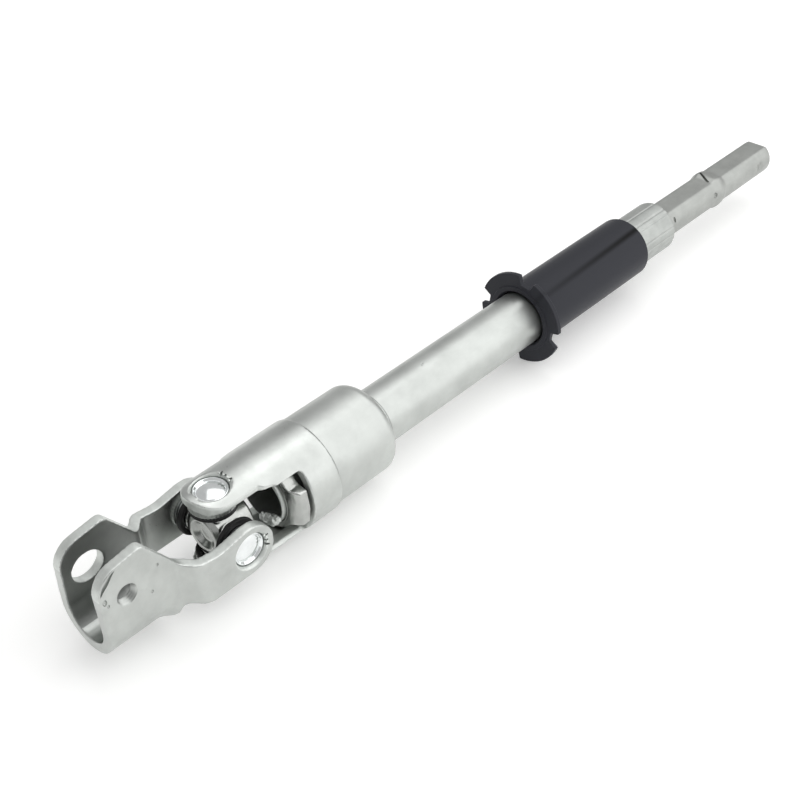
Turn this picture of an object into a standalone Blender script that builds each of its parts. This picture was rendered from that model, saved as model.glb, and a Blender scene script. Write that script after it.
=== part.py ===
"""Lower steering shaft of a car: a clamp yoke for the steering gear, a needle-bearing universal
joint, a damper yoke with a bonded rubber bush, and a tube that telescopes on a double-D bar.

Metres, +Z up. +X runs along the shaft, from the clamp yoke to the end of the bar, and the origin
is the centre of the bar's end face. Every piece is drawn about the centre of the universal joint,
which is also the point that its joint axes pass through.
"""

import math

import bmesh
import bpy
from mathutils import Vector

MM = 0.001

# Fits and gaps
SEAT_GAP = 0.3 * MM
RUNNING_GAP = 0.25 * MM
SLIDE_GAP = 0.2 * MM
OVERLAP = 1.0 * MM
REACH = 60.0 * MM

# Shaft tube and its swaged end
TUBE_RADIUS = 13.5 * MM
TUBE_WALL = 2.55 * MM
TUBE_LENGTH = 284.7 * MM
TUBE_MOUTH_ROUND = 2.4 * MM
SWAGE_LENGTH = 40.0 * MM
SWAGE_RUN_OUT = 3.0 * MM
FLUTE_PAIRS = 8
FLUTE_TURN = math.radians(29.5)
FLUTE_SPREAD = math.radians(6.6)
FLUTE_HALF_ANGLE = math.radians(4.4)
FLUTE_DEPTH = 0.55 * MM

# Sliding bar and its liner
LINER_WALL = 0.85 * MM
LINER_LENGTH = 37.0 * MM
LINER_SET_BACK = 2.4 * MM
BAR_FLAT_DEPTH = 1.7 * MM
BAR_LENGTH = 232.0 * MM
BAR_SHOWN = 102.5 * MM
BAR_CHAMFER = 1.0 * MM
STAKE_DISTANCE = 50.0 * MM
STAKE_HALF_LENGTH = 4.6 * MM
STAKE_HEIGHT = 1.0 * MM
NOTCH_FROM_END = 11.0 * MM
NOTCH_RADIUS = 2.2 * MM
NOTCH_DEPTH = 0.9 * MM

# Bearing sleeve
BEARING_SLEEVE_PLACE = 107.2 * MM
BEARING_SLEEVE_LENGTH = 86.0 * MM
BEARING_SLEEVE_GAP = 0.6 * MM
BEARING_SLEEVE_WALL = 2.0 * MM
BEARING_SLEEVE_MOUTH = 0.9 * MM
FLANGE_HEIGHT = 7.9 * MM
FLANGE_THICKNESS = 2.5 * MM
FLANGE_NOTCH_RISE = 3.3 * MM
FLANGE_NOTCH_FLOOR_HALF = math.radians(8.0)
FLANGE_NOTCH_RIM_HALF = math.radians(11.5)
FLANGE_NOTCH_TURN = math.radians(9.0)
FLANGE_NOTCHES = 4

# Damper, built up round the tube
HUB_SLEEVE_WALL = 1.6 * MM
HUB_SLEEVE_OVERHANG = 1.5 * MM
RUBBER_WALL = 3.1 * MM
RUBBER_LENGTH = 25.5 * MM
RUBBER_MOUTH = 1.6 * MM
RUBBER_SET_IN = 4.5 * MM
DAMPER_WALL = 2.4 * MM
DAMPER_LENGTH = 36.8 * MM
DAMPER_SHOULDER = 5.5 * MM
SPIGOT_LENGTH = 12.0 * MM
SPIGOT_WALL = 1.6 * MM

# Damper yoke, drawn from thick tube
YOKE_STEP = 1.0 * MM
YOKE_WALL = 4.3 * MM
YOKE_COLLAR_LENGTH = 15.6 * MM
YOKE_EAR_RADIUS = 11.9 * MM
YOKE_EAR_STEP = 2.7 * MM
YOKE_EAR_FLARE = 2.4 * MM
SIDE_CUT_CORNER = 1.8 * MM
SIDE_CUT_ROUND = 2.0 * MM

# Stop plate
STOP_PLATE_PLACE = 2.9 * MM
STOP_PLATE_THICKNESS = 6.0 * MM
STOP_PLATE_GAP = 1.2 * MM
STOP_PLATE_RING = 3.2 * MM
STOP_PLATE_BEVEL = 0.6 * MM
STOP_LUG_RECESS = 1.5 * MM
STOP_LUG_HALF_WIDTH = 11.0 * MM
STOP_LUG_RIM_HALF = 7.0 * MM
STOP_LUG_CORNER = 3.2 * MM

# Needle bearings
CUP_RECESS = 1.7 * MM
CUP_RADIUS = 7.5 * MM
CUP_WALL = 1.25 * MM
CUP_FLOOR = 1.8 * MM
CUP_LENGTH = 8.4 * MM
CUP_DISH_RIM = 2.1 * MM
CUP_DISH_DEPTH = 0.5 * MM
CUP_RIM_ROUND = 0.9 * MM
NEEDLE_DIAMETER = 1.25 * MM
NEEDLE_LENGTH = 5.2 * MM
NEEDLE_COUNT = 18
PAD_THICKNESS = 0.8 * MM
PAD_INSET = 1.1 * MM
SEAL_WIDTH = 1.5 * MM
SEAL_THICKNESS = 2.6 * MM

# Spider
HUB_SHOULDER = 0.1 * MM
HUB_WAIST_DEPTH = 1.2 * MM
SPIDER_BODY_RADIUS = 11.0 * MM
SPIDER_BODY_HALF = 7.4 * MM
SPIDER_DISH_RADIUS = 6.6 * MM
SPIDER_DISH_DEPTH = 2.2 * MM
SPIDER_CHAMFER = 1.8 * MM
JOURNAL_CHAMFER = 0.5 * MM

# Clamp yoke, pressed from sheet
SHEET = 4.8 * MM
CLAMP_EAR_RECESS = 1.2 * MM
EAR_RADIUS = 11.6 * MM
CHANNEL_GAP = 21.6 * MM
CHANNEL_AXIS_Z = -1.7 * MM
CLAMP_START_X = -65.8 * MM
CLAMP_SHOULDER_Z = 26.8 * MM
CLAMP_SHOULDER_ROUND = 11.0 * MM
CLAMP_PEAK_X = -43.5 * MM
CLAMP_PEAK_Z = 30.2 * MM
CLAMP_PEAK_ROUND = 3.6 * MM
NECK_X = -30.0 * MM
NECK_Z = 11.4 * MM
NECK_ROUND = 5.0 * MM
WAIST_X = -15.0 * MM
WAIST_Z = 9.1 * MM
WAIST_ROUND = 14.0 * MM
JOG_START_X = -31.5 * MM
JOG_END_X = -25.3 * MM
JOG_BEND = 1.4 * MM
CORNER_START_X = -42.0 * MM
ARM_HEEL_X = -22.0 * MM
WEB_NOTCH_X = -30.5 * MM
WEB_NOTCH_Z = -8.8 * MM
WEB_END_X = -36.5 * MM
BOLT_X = -54.3 * MM
BOLT_Z = 13.2 * MM
THREADED_HOLE_RADIUS = 4.7 * MM
BOLT_HOLE_RADIUS = 7.2 * MM

# Clearance between the universal joint's centre and the tube's end, for the ears to swing
JOINT_CLEARANCE = 12.4 * MM

# Roundness
LARGE_STEPS = 40
SMALL_STEPS = 24
FLUTE_STEPS = 112
CORNER_STEPS = 4

# Places along the shaft, from the centre of the universal joint
TUBE_START_X = YOKE_EAR_RADIUS + JOINT_CLEARANCE
TUBE_END_X = TUBE_START_X + TUBE_LENGTH
STOP_PLATE_START_X = TUBE_START_X + STOP_PLATE_PLACE
SIDE_CUT_END_X = STOP_PLATE_START_X + STOP_PLATE_THICKNESS + STOP_PLATE_GAP
YOKE_TUBE_END_X = SIDE_CUT_END_X + YOKE_COLLAR_LENGTH
DAMPER_END_X = YOKE_TUBE_END_X + DAMPER_LENGTH
RUBBER_START_X = YOKE_TUBE_END_X + RUBBER_SET_IN
RUBBER_END_X = RUBBER_START_X + RUBBER_LENGTH
BEARING_SLEEVE_START_X = DAMPER_END_X + BEARING_SLEEVE_PLACE
BAR_END_X = TUBE_END_X + BAR_SHOWN
BAR_START_X = BAR_END_X - BAR_LENGTH
STAKE_X = TUBE_END_X + STAKE_DISTANCE
NOTCH_X = BAR_END_X - NOTCH_FROM_END

# Radii, built up from the tube
TUBE_SEAT_RADIUS = TUBE_RADIUS + SEAT_GAP
TUBE_BORE_RADIUS = TUBE_RADIUS - TUBE_WALL
HUB_SLEEVE_RADIUS = TUBE_SEAT_RADIUS + HUB_SLEEVE_WALL
RUBBER_BORE_RADIUS = HUB_SLEEVE_RADIUS + SEAT_GAP
RUBBER_RADIUS = RUBBER_BORE_RADIUS + RUBBER_WALL
DAMPER_BORE_RADIUS = RUBBER_RADIUS + SEAT_GAP
DAMPER_RADIUS = DAMPER_BORE_RADIUS + DAMPER_WALL
YOKE_RADIUS = DAMPER_RADIUS + YOKE_STEP
YOKE_BORE_RADIUS = YOKE_RADIUS - YOKE_WALL
SPIGOT_RADIUS = YOKE_BORE_RADIUS - SEAT_GAP
SIDE_CUT_HALF_HEIGHT = YOKE_BORE_RADIUS - SIDE_CUT_CORNER
STOP_LUG_RADIUS = YOKE_RADIUS - STOP_LUG_RECESS
STOP_LUG_SHOULDER = STOP_LUG_RADIUS - STOP_LUG_CORNER
BEARING_BORE_RADIUS = TUBE_RADIUS + BEARING_SLEEVE_GAP
BEARING_SLEEVE_RADIUS = BEARING_BORE_RADIUS + BEARING_SLEEVE_WALL
FLANGE_RADIUS = BEARING_SLEEVE_RADIUS + FLANGE_HEIGHT
FLANGE_NOTCH_FLOOR = BEARING_SLEEVE_RADIUS + FLANGE_NOTCH_RISE

# The slide: liner on the bar, and the swaged bore on the liner
LINER_BORE_GROWTH = SLIDE_GAP
LINER_GROWTH = LINER_BORE_GROWTH + LINER_WALL
SWAGE_BORE_GROWTH = LINER_GROWTH + SLIDE_GAP
BAR_RADIUS = TUBE_BORE_RADIUS - SWAGE_BORE_GROWTH
BAR_FLAT = BAR_RADIUS - BAR_FLAT_DEPTH

# The universal joint, from the cup's outer face inwards
CUP_FACE = YOKE_RADIUS - CUP_RECESS
CUP_BORE_RADIUS = CUP_RADIUS - CUP_WALL
CUP_SEAT_RADIUS = CUP_RADIUS + SEAT_GAP
CUP_DISH_RADIUS = CUP_RADIUS - CUP_DISH_RIM
CUP_MOUTH = CUP_FACE - CUP_LENGTH
CUP_INNER_FACE = CUP_FACE - CUP_FLOOR
NEEDLE_OUTER_RADIUS = CUP_BORE_RADIUS - RUNNING_GAP
NEEDLE_INNER_RADIUS = NEEDLE_OUTER_RADIUS - NEEDLE_DIAMETER
NEEDLE_OUTER_END = CUP_INNER_FACE - SEAT_GAP
JOURNAL_RADIUS = NEEDLE_INNER_RADIUS - RUNNING_GAP
PAD_RADIUS = NEEDLE_INNER_RADIUS - PAD_INSET
PAD_OUTER_FACE = CUP_INNER_FACE - SEAT_GAP
PAD_INNER_FACE = PAD_OUTER_FACE - PAD_THICKNESS
JOURNAL_END = PAD_INNER_FACE - SEAT_GAP
HUB_FACE = CUP_MOUTH - SEAT_GAP
HUB_RADIUS = CUP_RADIUS + HUB_SHOULDER
HUB_WAIST_RADIUS = HUB_RADIUS - HUB_WAIST_DEPTH
SEAL_BORE_RADIUS = CUP_RADIUS + SEAT_GAP
SEAL_RADIUS = SEAL_BORE_RADIUS + SEAL_WIDTH
CHANNEL_HALF = CHANNEL_GAP / 2 + SHEET
EAR_FACE = CUP_FACE + CLAMP_EAR_RECESS


# Outlines

def arc(centre, radius, start, end, steps):
    """Points along a circle in a plane, from one angle to another."""
    turn = (end - start) / steps
    return [
        (centre[0] + radius * math.cos(start + turn * i), centre[1] + radius * math.sin(start + turn * i))
        for i in range(steps + 1)
    ]


def rounded(corners, closed=True):
    """An outline through corners of (u, v, radius), each corner rounded by its own radius."""
    points = []
    count = len(corners)
    for i, (u, v, radius) in enumerate(corners):
        open_end = not closed and i in (0, count - 1)
        if radius == 0 or open_end:
            points.append((u, v))
            continue
        here = Vector((u, v))
        back = (Vector(corners[i - 1][:2]) - here).normalized()
        ahead = (Vector(corners[(i + 1) % count][:2]) - here).normalized()
        half = back.angle(ahead) / 2
        reach = radius / math.tan(half)
        centre = here + (back + ahead).normalized() * (radius / math.sin(half))
        first = here + back * reach - centre
        last = here + ahead * reach - centre
        start = math.atan2(first.y, first.x)
        sweep = math.atan2(first.x * last.y - first.y * last.x, first.dot(last))
        points += arc(centre, radius, start, start + sweep, CORNER_STEPS)
    return points


def double_d(radius, flat, steps):
    """The outline in Y and Z of a round bar with two flats across Z."""
    edge = math.asin(flat / radius)
    right = arc((0, 0), radius, -edge, edge, steps)
    left = arc((0, 0), radius, math.pi - edge, math.pi + edge, steps)
    return right + left


# Solids

def finish(name, shape, smooth_angle=math.radians(30)):
    """Makes a named object of a bmesh, with its faces pointing out, placed at the joint's centre."""
    bmesh.ops.remove_doubles(shape, verts=shape.verts, dist=0.000001)
    bmesh.ops.recalc_face_normals(shape, faces=shape.faces)
    mesh = bpy.data.meshes.new(name)
    shape.to_mesh(mesh)
    shape.free()
    mesh.shade_smooth()
    mesh.set_sharp_from_angle(angle=smooth_angle)
    piece = bpy.data.objects.new(name, mesh)
    bpy.context.collection.objects.link(piece)
    piece.parent = JOINT_CENTRE
    return piece


def along(axis, distance, u, v):
    """A point at a distance along an axis, with u and v on the two axes that follow it."""
    place = {"X": (distance, u, v), "Y": (v, distance, u), "Z": (u, v, distance)}
    return Vector(place[axis])


def turned(name, section, axis="X", steps=LARGE_STEPS):
    """A solid of revolution: section is a closed outline of (place along the axis, radius)."""
    shape = bmesh.new()
    verts = [shape.verts.new(along(axis, place, radius, 0)) for place, radius in section]
    edges = [shape.edges.new((a, b)) for a, b in zip(verts, verts[1:])]
    if min(radius for place, radius in section) > 0:
        edges.append(shape.edges.new((verts[-1], verts[0])))
    bmesh.ops.spin(
        shape,
        geom=verts + edges,
        axis=along(axis, 1, 0, 0),
        cent=(0, 0, 0),
        angle=2 * math.pi,
        steps=steps,
        use_merge=True,
    )
    return finish(name, shape)


def prism(name, outline, axis, low, high):
    """A closed outline of (u, v) on the axes that follow the given one, extruded along it."""
    shape = bmesh.new()
    face = shape.faces.new([shape.verts.new(along(axis, low, u, v)) for u, v in outline])
    made = bmesh.ops.extrude_face_region(shape, geom=[face])
    moved = [item for item in made["geom"] if isinstance(item, bmesh.types.BMVert)]
    bmesh.ops.translate(shape, verts=moved, vec=along(axis, high - low, 0, 0))
    return finish(name, shape)


def loft(name, stations, closed_ends=True):
    """A solid skinned along X through outlines with equal counts: (x, [(y, z), ...]) each."""
    shape = bmesh.new()
    rings = [[shape.verts.new((x, y, z)) for y, z in outline] for x, outline in stations]
    count = len(rings[0])
    for near, far in zip(rings, rings[1:]):
        for i in range(count):
            j = (i + 1) % count
            shape.faces.new((near[i], near[j], far[j], far[i]))
    if closed_ends:
        shape.faces.new(rings[0])
        shape.faces.new(rings[-1])
    return finish(name, shape)


def combine(piece, tool, operation):
    """Adds a Boolean of a tool, which stays in the scene as a hidden guide."""
    tool.hide_render = True
    tool.display_type = "WIRE"
    modifier = piece.modifiers.new(tool.name, "BOOLEAN")
    modifier.operation = operation
    modifier.solver = "EXACT"
    modifier.object = tool
    return piece


def paint(piece, material):
    piece.data.materials.clear()
    piece.data.materials.append(material)
    return piece


def make_material(name, colour, metallic, roughness):
    material = bpy.data.materials.new(name)
    material.use_nodes = True
    shader = material.node_tree.nodes["Principled BSDF"]
    shader.inputs["Base Color"].default_value = (*colour, 1)
    shader.inputs["Metallic"].default_value = metallic
    shader.inputs["Roughness"].default_value = roughness
    return material


# Universal joint

def trunnion_piece(name, section, direction, steps=SMALL_STEPS):
    """A turned piece on one trunnion; direction is the axis letter and the side, as in ('Z', -1)."""
    axis, side = direction
    return turned(name, [(side * place, radius) for place, radius in section], axis, steps)


def make_spider():
    """The forged cross: a dished body on X and four hubs with journals on Y and Z."""
    rim = SPIDER_BODY_RADIUS - SPIDER_CHAMFER
    face = SPIDER_BODY_HALF
    floor = face - SPIDER_DISH_DEPTH
    half = [
        (floor, 0),
        (floor, SPIDER_DISH_RADIUS - SPIDER_DISH_DEPTH),
        (face, SPIDER_DISH_RADIUS),
        (face, rim),
        (face - SPIDER_CHAMFER, SPIDER_BODY_RADIUS),
    ]
    spider = turned("spider", half + [(-x, r) for x, r in reversed(half)], "X", SMALL_STEPS)
    for axis in ("Y", "Z"):
        arm = [
            (0, HUB_WAIST_RADIUS),
            (HUB_FACE - 3 * SPIDER_CHAMFER, HUB_WAIST_RADIUS),
            (HUB_FACE - SPIDER_CHAMFER, HUB_RADIUS),
            (HUB_FACE, HUB_RADIUS),
            (HUB_FACE, JOURNAL_RADIUS),
            (JOURNAL_END - JOURNAL_CHAMFER, JOURNAL_RADIUS),
            (JOURNAL_END, JOURNAL_RADIUS - JOURNAL_CHAMFER),
            (JOURNAL_END, 0),
        ]
        both = [(-place, radius) for place, radius in reversed(arm[1:])] + arm[1:]
        combine(spider, turned("spider_arms_" + axis.lower(), both, axis, SMALL_STEPS), "UNION")
    return spider


def make_cup(name, direction):
    """A drawn bearing cup, with a rounded rim and a dished end."""
    rim = arc(
        (CUP_FACE - CUP_RIM_ROUND, CUP_RADIUS - CUP_RIM_ROUND), CUP_RIM_ROUND, math.pi / 2, 0, CORNER_STEPS
    )
    section = [
        (CUP_INNER_FACE, 0),
        (CUP_INNER_FACE, CUP_BORE_RADIUS),
        (CUP_MOUTH, CUP_BORE_RADIUS),
        (CUP_MOUTH, CUP_RADIUS),
        *rim,
        (CUP_FACE, CUP_DISH_RADIUS + CUP_DISH_DEPTH),
        (CUP_FACE - CUP_DISH_DEPTH, CUP_DISH_RADIUS),
        (CUP_FACE - CUP_DISH_DEPTH, 0),
    ]
    return trunnion_piece(name, section, direction)


def make_needles(name, direction):
    """A full set of needles, side by side round the journal, joined where they touch."""
    axis, side = direction
    pitch = (NEEDLE_OUTER_RADIUS + NEEDLE_INNER_RADIUS) / 2
    waist = NEEDLE_DIAMETER / 4
    outer = []
    inner = []
    for i in range(NEEDLE_COUNT * 4):
        angle = math.pi * i / (NEEDLE_COUNT * 2)
        bulge = (NEEDLE_DIAMETER / 2, math.hypot(NEEDLE_DIAMETER, waist) / 2.6, waist)[min(i % 4, 4 - i % 4)]
        outer.append(((pitch + bulge) * math.cos(angle), (pitch + bulge) * math.sin(angle)))
        inner.append(((pitch - bulge) * math.cos(angle), (pitch - bulge) * math.sin(angle)))
    shape = bmesh.new()
    count = len(outer)
    places = (side * (NEEDLE_OUTER_END - NEEDLE_LENGTH), side * NEEDLE_OUTER_END)
    rings = [
        [shape.verts.new(along(axis, place, u, v)) for u, v in outline]
        for place in places
        for outline in (outer, inner)
    ]
    for a, b in ((0, 2), (2, 3), (3, 1), (1, 0)):
        for i in range(count):
            j = (i + 1) % count
            shape.faces.new((rings[a][i], rings[a][j], rings[b][j], rings[b][i]))
    return finish(name, shape)


def make_pad(name, direction):
    """The thrust pad between the journal's end and the cup's floor."""
    edge = PAD_RADIUS - PAD_THICKNESS / 4
    section = [
        (PAD_INNER_FACE, 0),
        (PAD_INNER_FACE, edge),
        (PAD_INNER_FACE + PAD_THICKNESS / 4, PAD_RADIUS),
        (PAD_OUTER_FACE - PAD_THICKNESS / 4, PAD_RADIUS),
        (PAD_OUTER_FACE, edge),
        (PAD_OUTER_FACE, 0),
    ]
    return trunnion_piece(name, section, direction)


def make_seal(name, direction):
    """The rubber ring round the cup's mouth, with a lip that turns in over the hub."""
    top = CUP_MOUTH + SEAL_THICKNESS
    lip = HUB_RADIUS + SEAT_GAP
    bottom = CUP_MOUTH - SEAT_GAP - SEAL_THICKNESS / 3
    section = [
        (top, SEAL_BORE_RADIUS),
        (bottom + SEAL_THICKNESS / 3, SEAL_BORE_RADIUS),
        (bottom, lip + SEAT_GAP),
        (bottom, SEAL_RADIUS - SEAL_THICKNESS / 4),
        (bottom + SEAL_THICKNESS / 4, SEAL_RADIUS),
        (top - SEAL_THICKNESS / 4, SEAL_RADIUS),
        (top, SEAL_RADIUS - SEAL_THICKNESS / 4),
    ]
    return trunnion_piece(name, section, direction)


# Yokes

def blend(value, low, high):
    """0 up to low, 1 from high on, and smooth between them."""
    t = min(1, max(0, (value - low) / (high - low)))
    return t * t * (3 - 2 * t)


def bend_plan():
    """Pairs of outer and inner (x, half width) along one side of the pressed sheet, seen from above."""
    slope = math.atan2(EAR_FACE - CHANNEL_HALF, JOG_END_X - JOG_START_X)
    reach = math.tan(slope / 2)
    near = (JOG_START_X - JOG_BEND * reach, CHANNEL_HALF + JOG_BEND)
    far = (JOG_END_X + (JOG_BEND + SHEET) * reach, EAR_FACE - JOG_BEND - SHEET)
    pairs = [((x, CHANNEL_HALF), (x, CHANNEL_HALF - SHEET)) for x in (CLAMP_START_X, CORNER_START_X)]
    for i in range(1, CORNER_STEPS):
        x = CORNER_START_X + (near[0] - CORNER_START_X) * i / CORNER_STEPS
        pairs.append(((x, CHANNEL_HALF), (x, CHANNEL_HALF - SHEET)))
    first = (-math.pi / 2, slope - math.pi / 2)
    outer = arc(near, JOG_BEND, *first, CORNER_STEPS)
    inner = arc(near, JOG_BEND + SHEET, *first, CORNER_STEPS)
    pairs += zip(outer, inner)
    second = (slope + math.pi / 2, math.pi / 2)
    outer = arc(far, JOG_BEND + SHEET, *second, CORNER_STEPS)
    inner = arc(far, JOG_BEND, *second, CORNER_STEPS)
    pairs += zip(outer, inner)
    end = EAR_RADIUS + OVERLAP
    return pairs + [((end, EAR_FACE), (end, EAR_FACE - SHEET))]


def channel_side(x, half, corner):
    """One side of the channel's section at x, from the top edge down to the middle of the web."""
    centre = (half - corner, CHANNEL_AXIS_Z - half + corner)
    side = [(half, CLAMP_PEAK_Z + OVERLAP)] + arc(centre, corner, 0, -math.pi / 2, CORNER_STEPS * 2)
    return [(x, y, z) for y, z in side]


def make_clamp_yoke():
    """The pressed yoke: a U-shaped channel that opens into two ears, joggled out on each side."""
    shape = bmesh.new()
    rings = []
    for (outer_x, outer_half), (inner_x, inner_half) in bend_plan():
        squareness = blend(outer_x, CORNER_START_X, JOG_START_X)
        corner = CHANNEL_HALF + (SHEET + JOG_BEND - CHANNEL_HALF) * squareness
        right = channel_side(outer_x, outer_half, corner)
        left = [(x, -y, z) for x, y, z in reversed(right)]
        inside = channel_side(inner_x, inner_half, corner - SHEET)
        back = [(x, -y, z) for x, y, z in inside]
        rings.append([shape.verts.new(place) for place in right + left + back + inside[::-1]])
    count = len(rings[0])
    for near, far in zip(rings, rings[1:]):
        for i in range(count):
            j = (i + 1) % count
            shape.faces.new((near[i], near[j], far[j], far[i]))
    half = count // 2
    for ring in (rings[0], rings[-1]):
        for i in range(half - 1):
            shape.faces.new((ring[i], ring[i + 1], ring[count - 2 - i], ring[count - 1 - i]))
    yoke = finish("clamp_yoke", shape)
    top = math.atan2(WAIST_Z, WAIST_X) - math.acos(EAR_RADIUS / math.hypot(WAIST_X, WAIST_Z))
    ear = [(x, z, 0) for x, z in arc((0, 0), EAR_RADIUS, top, -math.pi / 2, LARGE_STEPS // 2)]
    outline = rounded(
        [
            (CLAMP_START_X, CLAMP_SHOULDER_Z, CLAMP_SHOULDER_ROUND),
            (CLAMP_PEAK_X, CLAMP_PEAK_Z, CLAMP_PEAK_ROUND),
            (NECK_X, NECK_Z, NECK_ROUND),
            (WAIST_X, WAIST_Z, WAIST_ROUND),
            *ear,
            (ARM_HEEL_X, -EAR_RADIUS, NECK_ROUND),
            (WEB_NOTCH_X, WEB_NOTCH_Z, NECK_ROUND),
            (WEB_END_X, CHANNEL_AXIS_Z - CHANNEL_HALF - OVERLAP, 0),
            (CLAMP_START_X, CHANNEL_AXIS_Z - CHANNEL_HALF - OVERLAP, 0),
        ]
    )
    blank = prism("clamp_yoke_blank", [(z, x) for x, z in outline], "Y", -REACH, REACH)
    combine(yoke, blank, "INTERSECT")
    bore = turned(
        "clamp_yoke_bore",
        [(-REACH, 0), (-REACH, CUP_SEAT_RADIUS), (REACH, CUP_SEAT_RADIUS), (REACH, 0)],
        "Y",
        SMALL_STEPS,
    )
    combine(yoke, bore, "DIFFERENCE")
    holes = (("threaded_hole", -REACH, 0, THREADED_HOLE_RADIUS), ("bolt_hole", 0, REACH, BOLT_HOLE_RADIUS))
    for name, low, high, radius in holes:
        circle = [(z, x) for x, z in arc((BOLT_X, BOLT_Z), radius, 0, 2 * math.pi, SMALL_STEPS)[:-1]]
        combine(yoke, prism("clamp_yoke_" + name, circle, "Y", low, high), "DIFFERENCE")
    return yoke


def make_damper_yoke():
    """The tubular yoke: two ears above and below, left by a deep cut from each side."""
    start = -YOKE_EAR_RADIUS - OVERLAP
    step = YOKE_EAR_RADIUS + YOKE_EAR_STEP
    yoke = turned(
        "damper_yoke",
        [
            (start, YOKE_BORE_RADIUS),
            (YOKE_TUBE_END_X, YOKE_BORE_RADIUS),
            (YOKE_TUBE_END_X, YOKE_RADIUS),
            (start, YOKE_RADIUS),
        ],
    )
    cut = rounded(
        [
            (start - OVERLAP, SIDE_CUT_HALF_HEIGHT, 0),
            (start - OVERLAP, -SIDE_CUT_HALF_HEIGHT, 0),
            (SIDE_CUT_END_X, -SIDE_CUT_HALF_HEIGHT, SIDE_CUT_ROUND),
            (SIDE_CUT_END_X, SIDE_CUT_HALF_HEIGHT, SIDE_CUT_ROUND),
        ]
    )
    combine(yoke, prism("damper_yoke_side_cut", [(z, x) for x, z in cut], "Y", -REACH, REACH), "DIFFERENCE")
    for side, name in ((1, "left"), (-1, "right")):
        tip = arc((0, 0), YOKE_EAR_RADIUS, math.pi, math.pi / 2, CORNER_STEPS * 2)
        trim = tip + [
            (step - YOKE_EAR_FLARE, YOKE_EAR_RADIUS),
            (step, YOKE_EAR_RADIUS + YOKE_EAR_FLARE / 3),
            (step + YOKE_EAR_FLARE, YOKE_RADIUS),
            (step + YOKE_EAR_FLARE, YOKE_RADIUS + OVERLAP),
            (start - OVERLAP, YOKE_RADIUS + OVERLAP),
            (start - OVERLAP, 0),
        ]
        trim = [(x, side * y) for x, y in trim]
        combine(yoke, prism("damper_yoke_trim_" + name, trim, "Z", -REACH, REACH), "DIFFERENCE")
    bore = turned(
        "damper_yoke_bore",
        [(-REACH, 0), (-REACH, CUP_SEAT_RADIUS), (REACH, CUP_SEAT_RADIUS), (REACH, 0)],
        "Z",
        SMALL_STEPS,
    )
    return combine(yoke, bore, "DIFFERENCE")


# Damper

def make_damper_sleeve():
    """The outer sleeve: a spigot inside the yoke, then a step out to a cup with a round shoulder."""
    start = YOKE_TUBE_END_X + SEAT_GAP
    shoulder = arc(
        (DAMPER_END_X - DAMPER_SHOULDER, DAMPER_RADIUS - DAMPER_SHOULDER),
        DAMPER_SHOULDER,
        math.pi / 2,
        0,
        CORNER_STEPS,
    )
    return turned(
        "damper_sleeve",
        [
            (start - SPIGOT_LENGTH, SPIGOT_RADIUS - SPIGOT_WALL),
            (start - SPIGOT_LENGTH, SPIGOT_RADIUS),
            (start, SPIGOT_RADIUS),
            (start, DAMPER_RADIUS),
            *shoulder,
            (DAMPER_END_X, TUBE_SEAT_RADIUS),
            (DAMPER_END_X - DAMPER_WALL, TUBE_SEAT_RADIUS),
            (DAMPER_END_X - DAMPER_WALL, DAMPER_BORE_RADIUS - DAMPER_SHOULDER / 2),
            (DAMPER_END_X - DAMPER_SHOULDER, DAMPER_BORE_RADIUS),
            (start + DAMPER_WALL, DAMPER_BORE_RADIUS),
            (start + DAMPER_WALL, SPIGOT_RADIUS - SPIGOT_WALL),
        ],
    )


def make_damper_rubber():
    """The bonded rubber bush, its ends hollowed between the two sleeves."""
    middle = (RUBBER_BORE_RADIUS + RUBBER_RADIUS) / 2
    return turned(
        "damper_rubber",
        [
            (RUBBER_START_X, RUBBER_BORE_RADIUS),
            (RUBBER_END_X, RUBBER_BORE_RADIUS),
            (RUBBER_END_X - RUBBER_MOUTH, middle),
            (RUBBER_END_X, RUBBER_RADIUS),
            (RUBBER_START_X, RUBBER_RADIUS),
            (RUBBER_START_X + RUBBER_MOUTH, middle),
        ],
    )


def make_hub_sleeve():
    """The steel sleeve inside the rubber, pressed on the tube."""
    return turned(
        "hub_sleeve",
        [
            (RUBBER_START_X - HUB_SLEEVE_OVERHANG, TUBE_SEAT_RADIUS),
            (RUBBER_START_X - HUB_SLEEVE_OVERHANG, HUB_SLEEVE_RADIUS),
            (RUBBER_END_X + HUB_SLEEVE_OVERHANG, HUB_SLEEVE_RADIUS),
            (RUBBER_END_X + HUB_SLEEVE_OVERHANG, TUBE_SEAT_RADIUS),
        ],
    )


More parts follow.
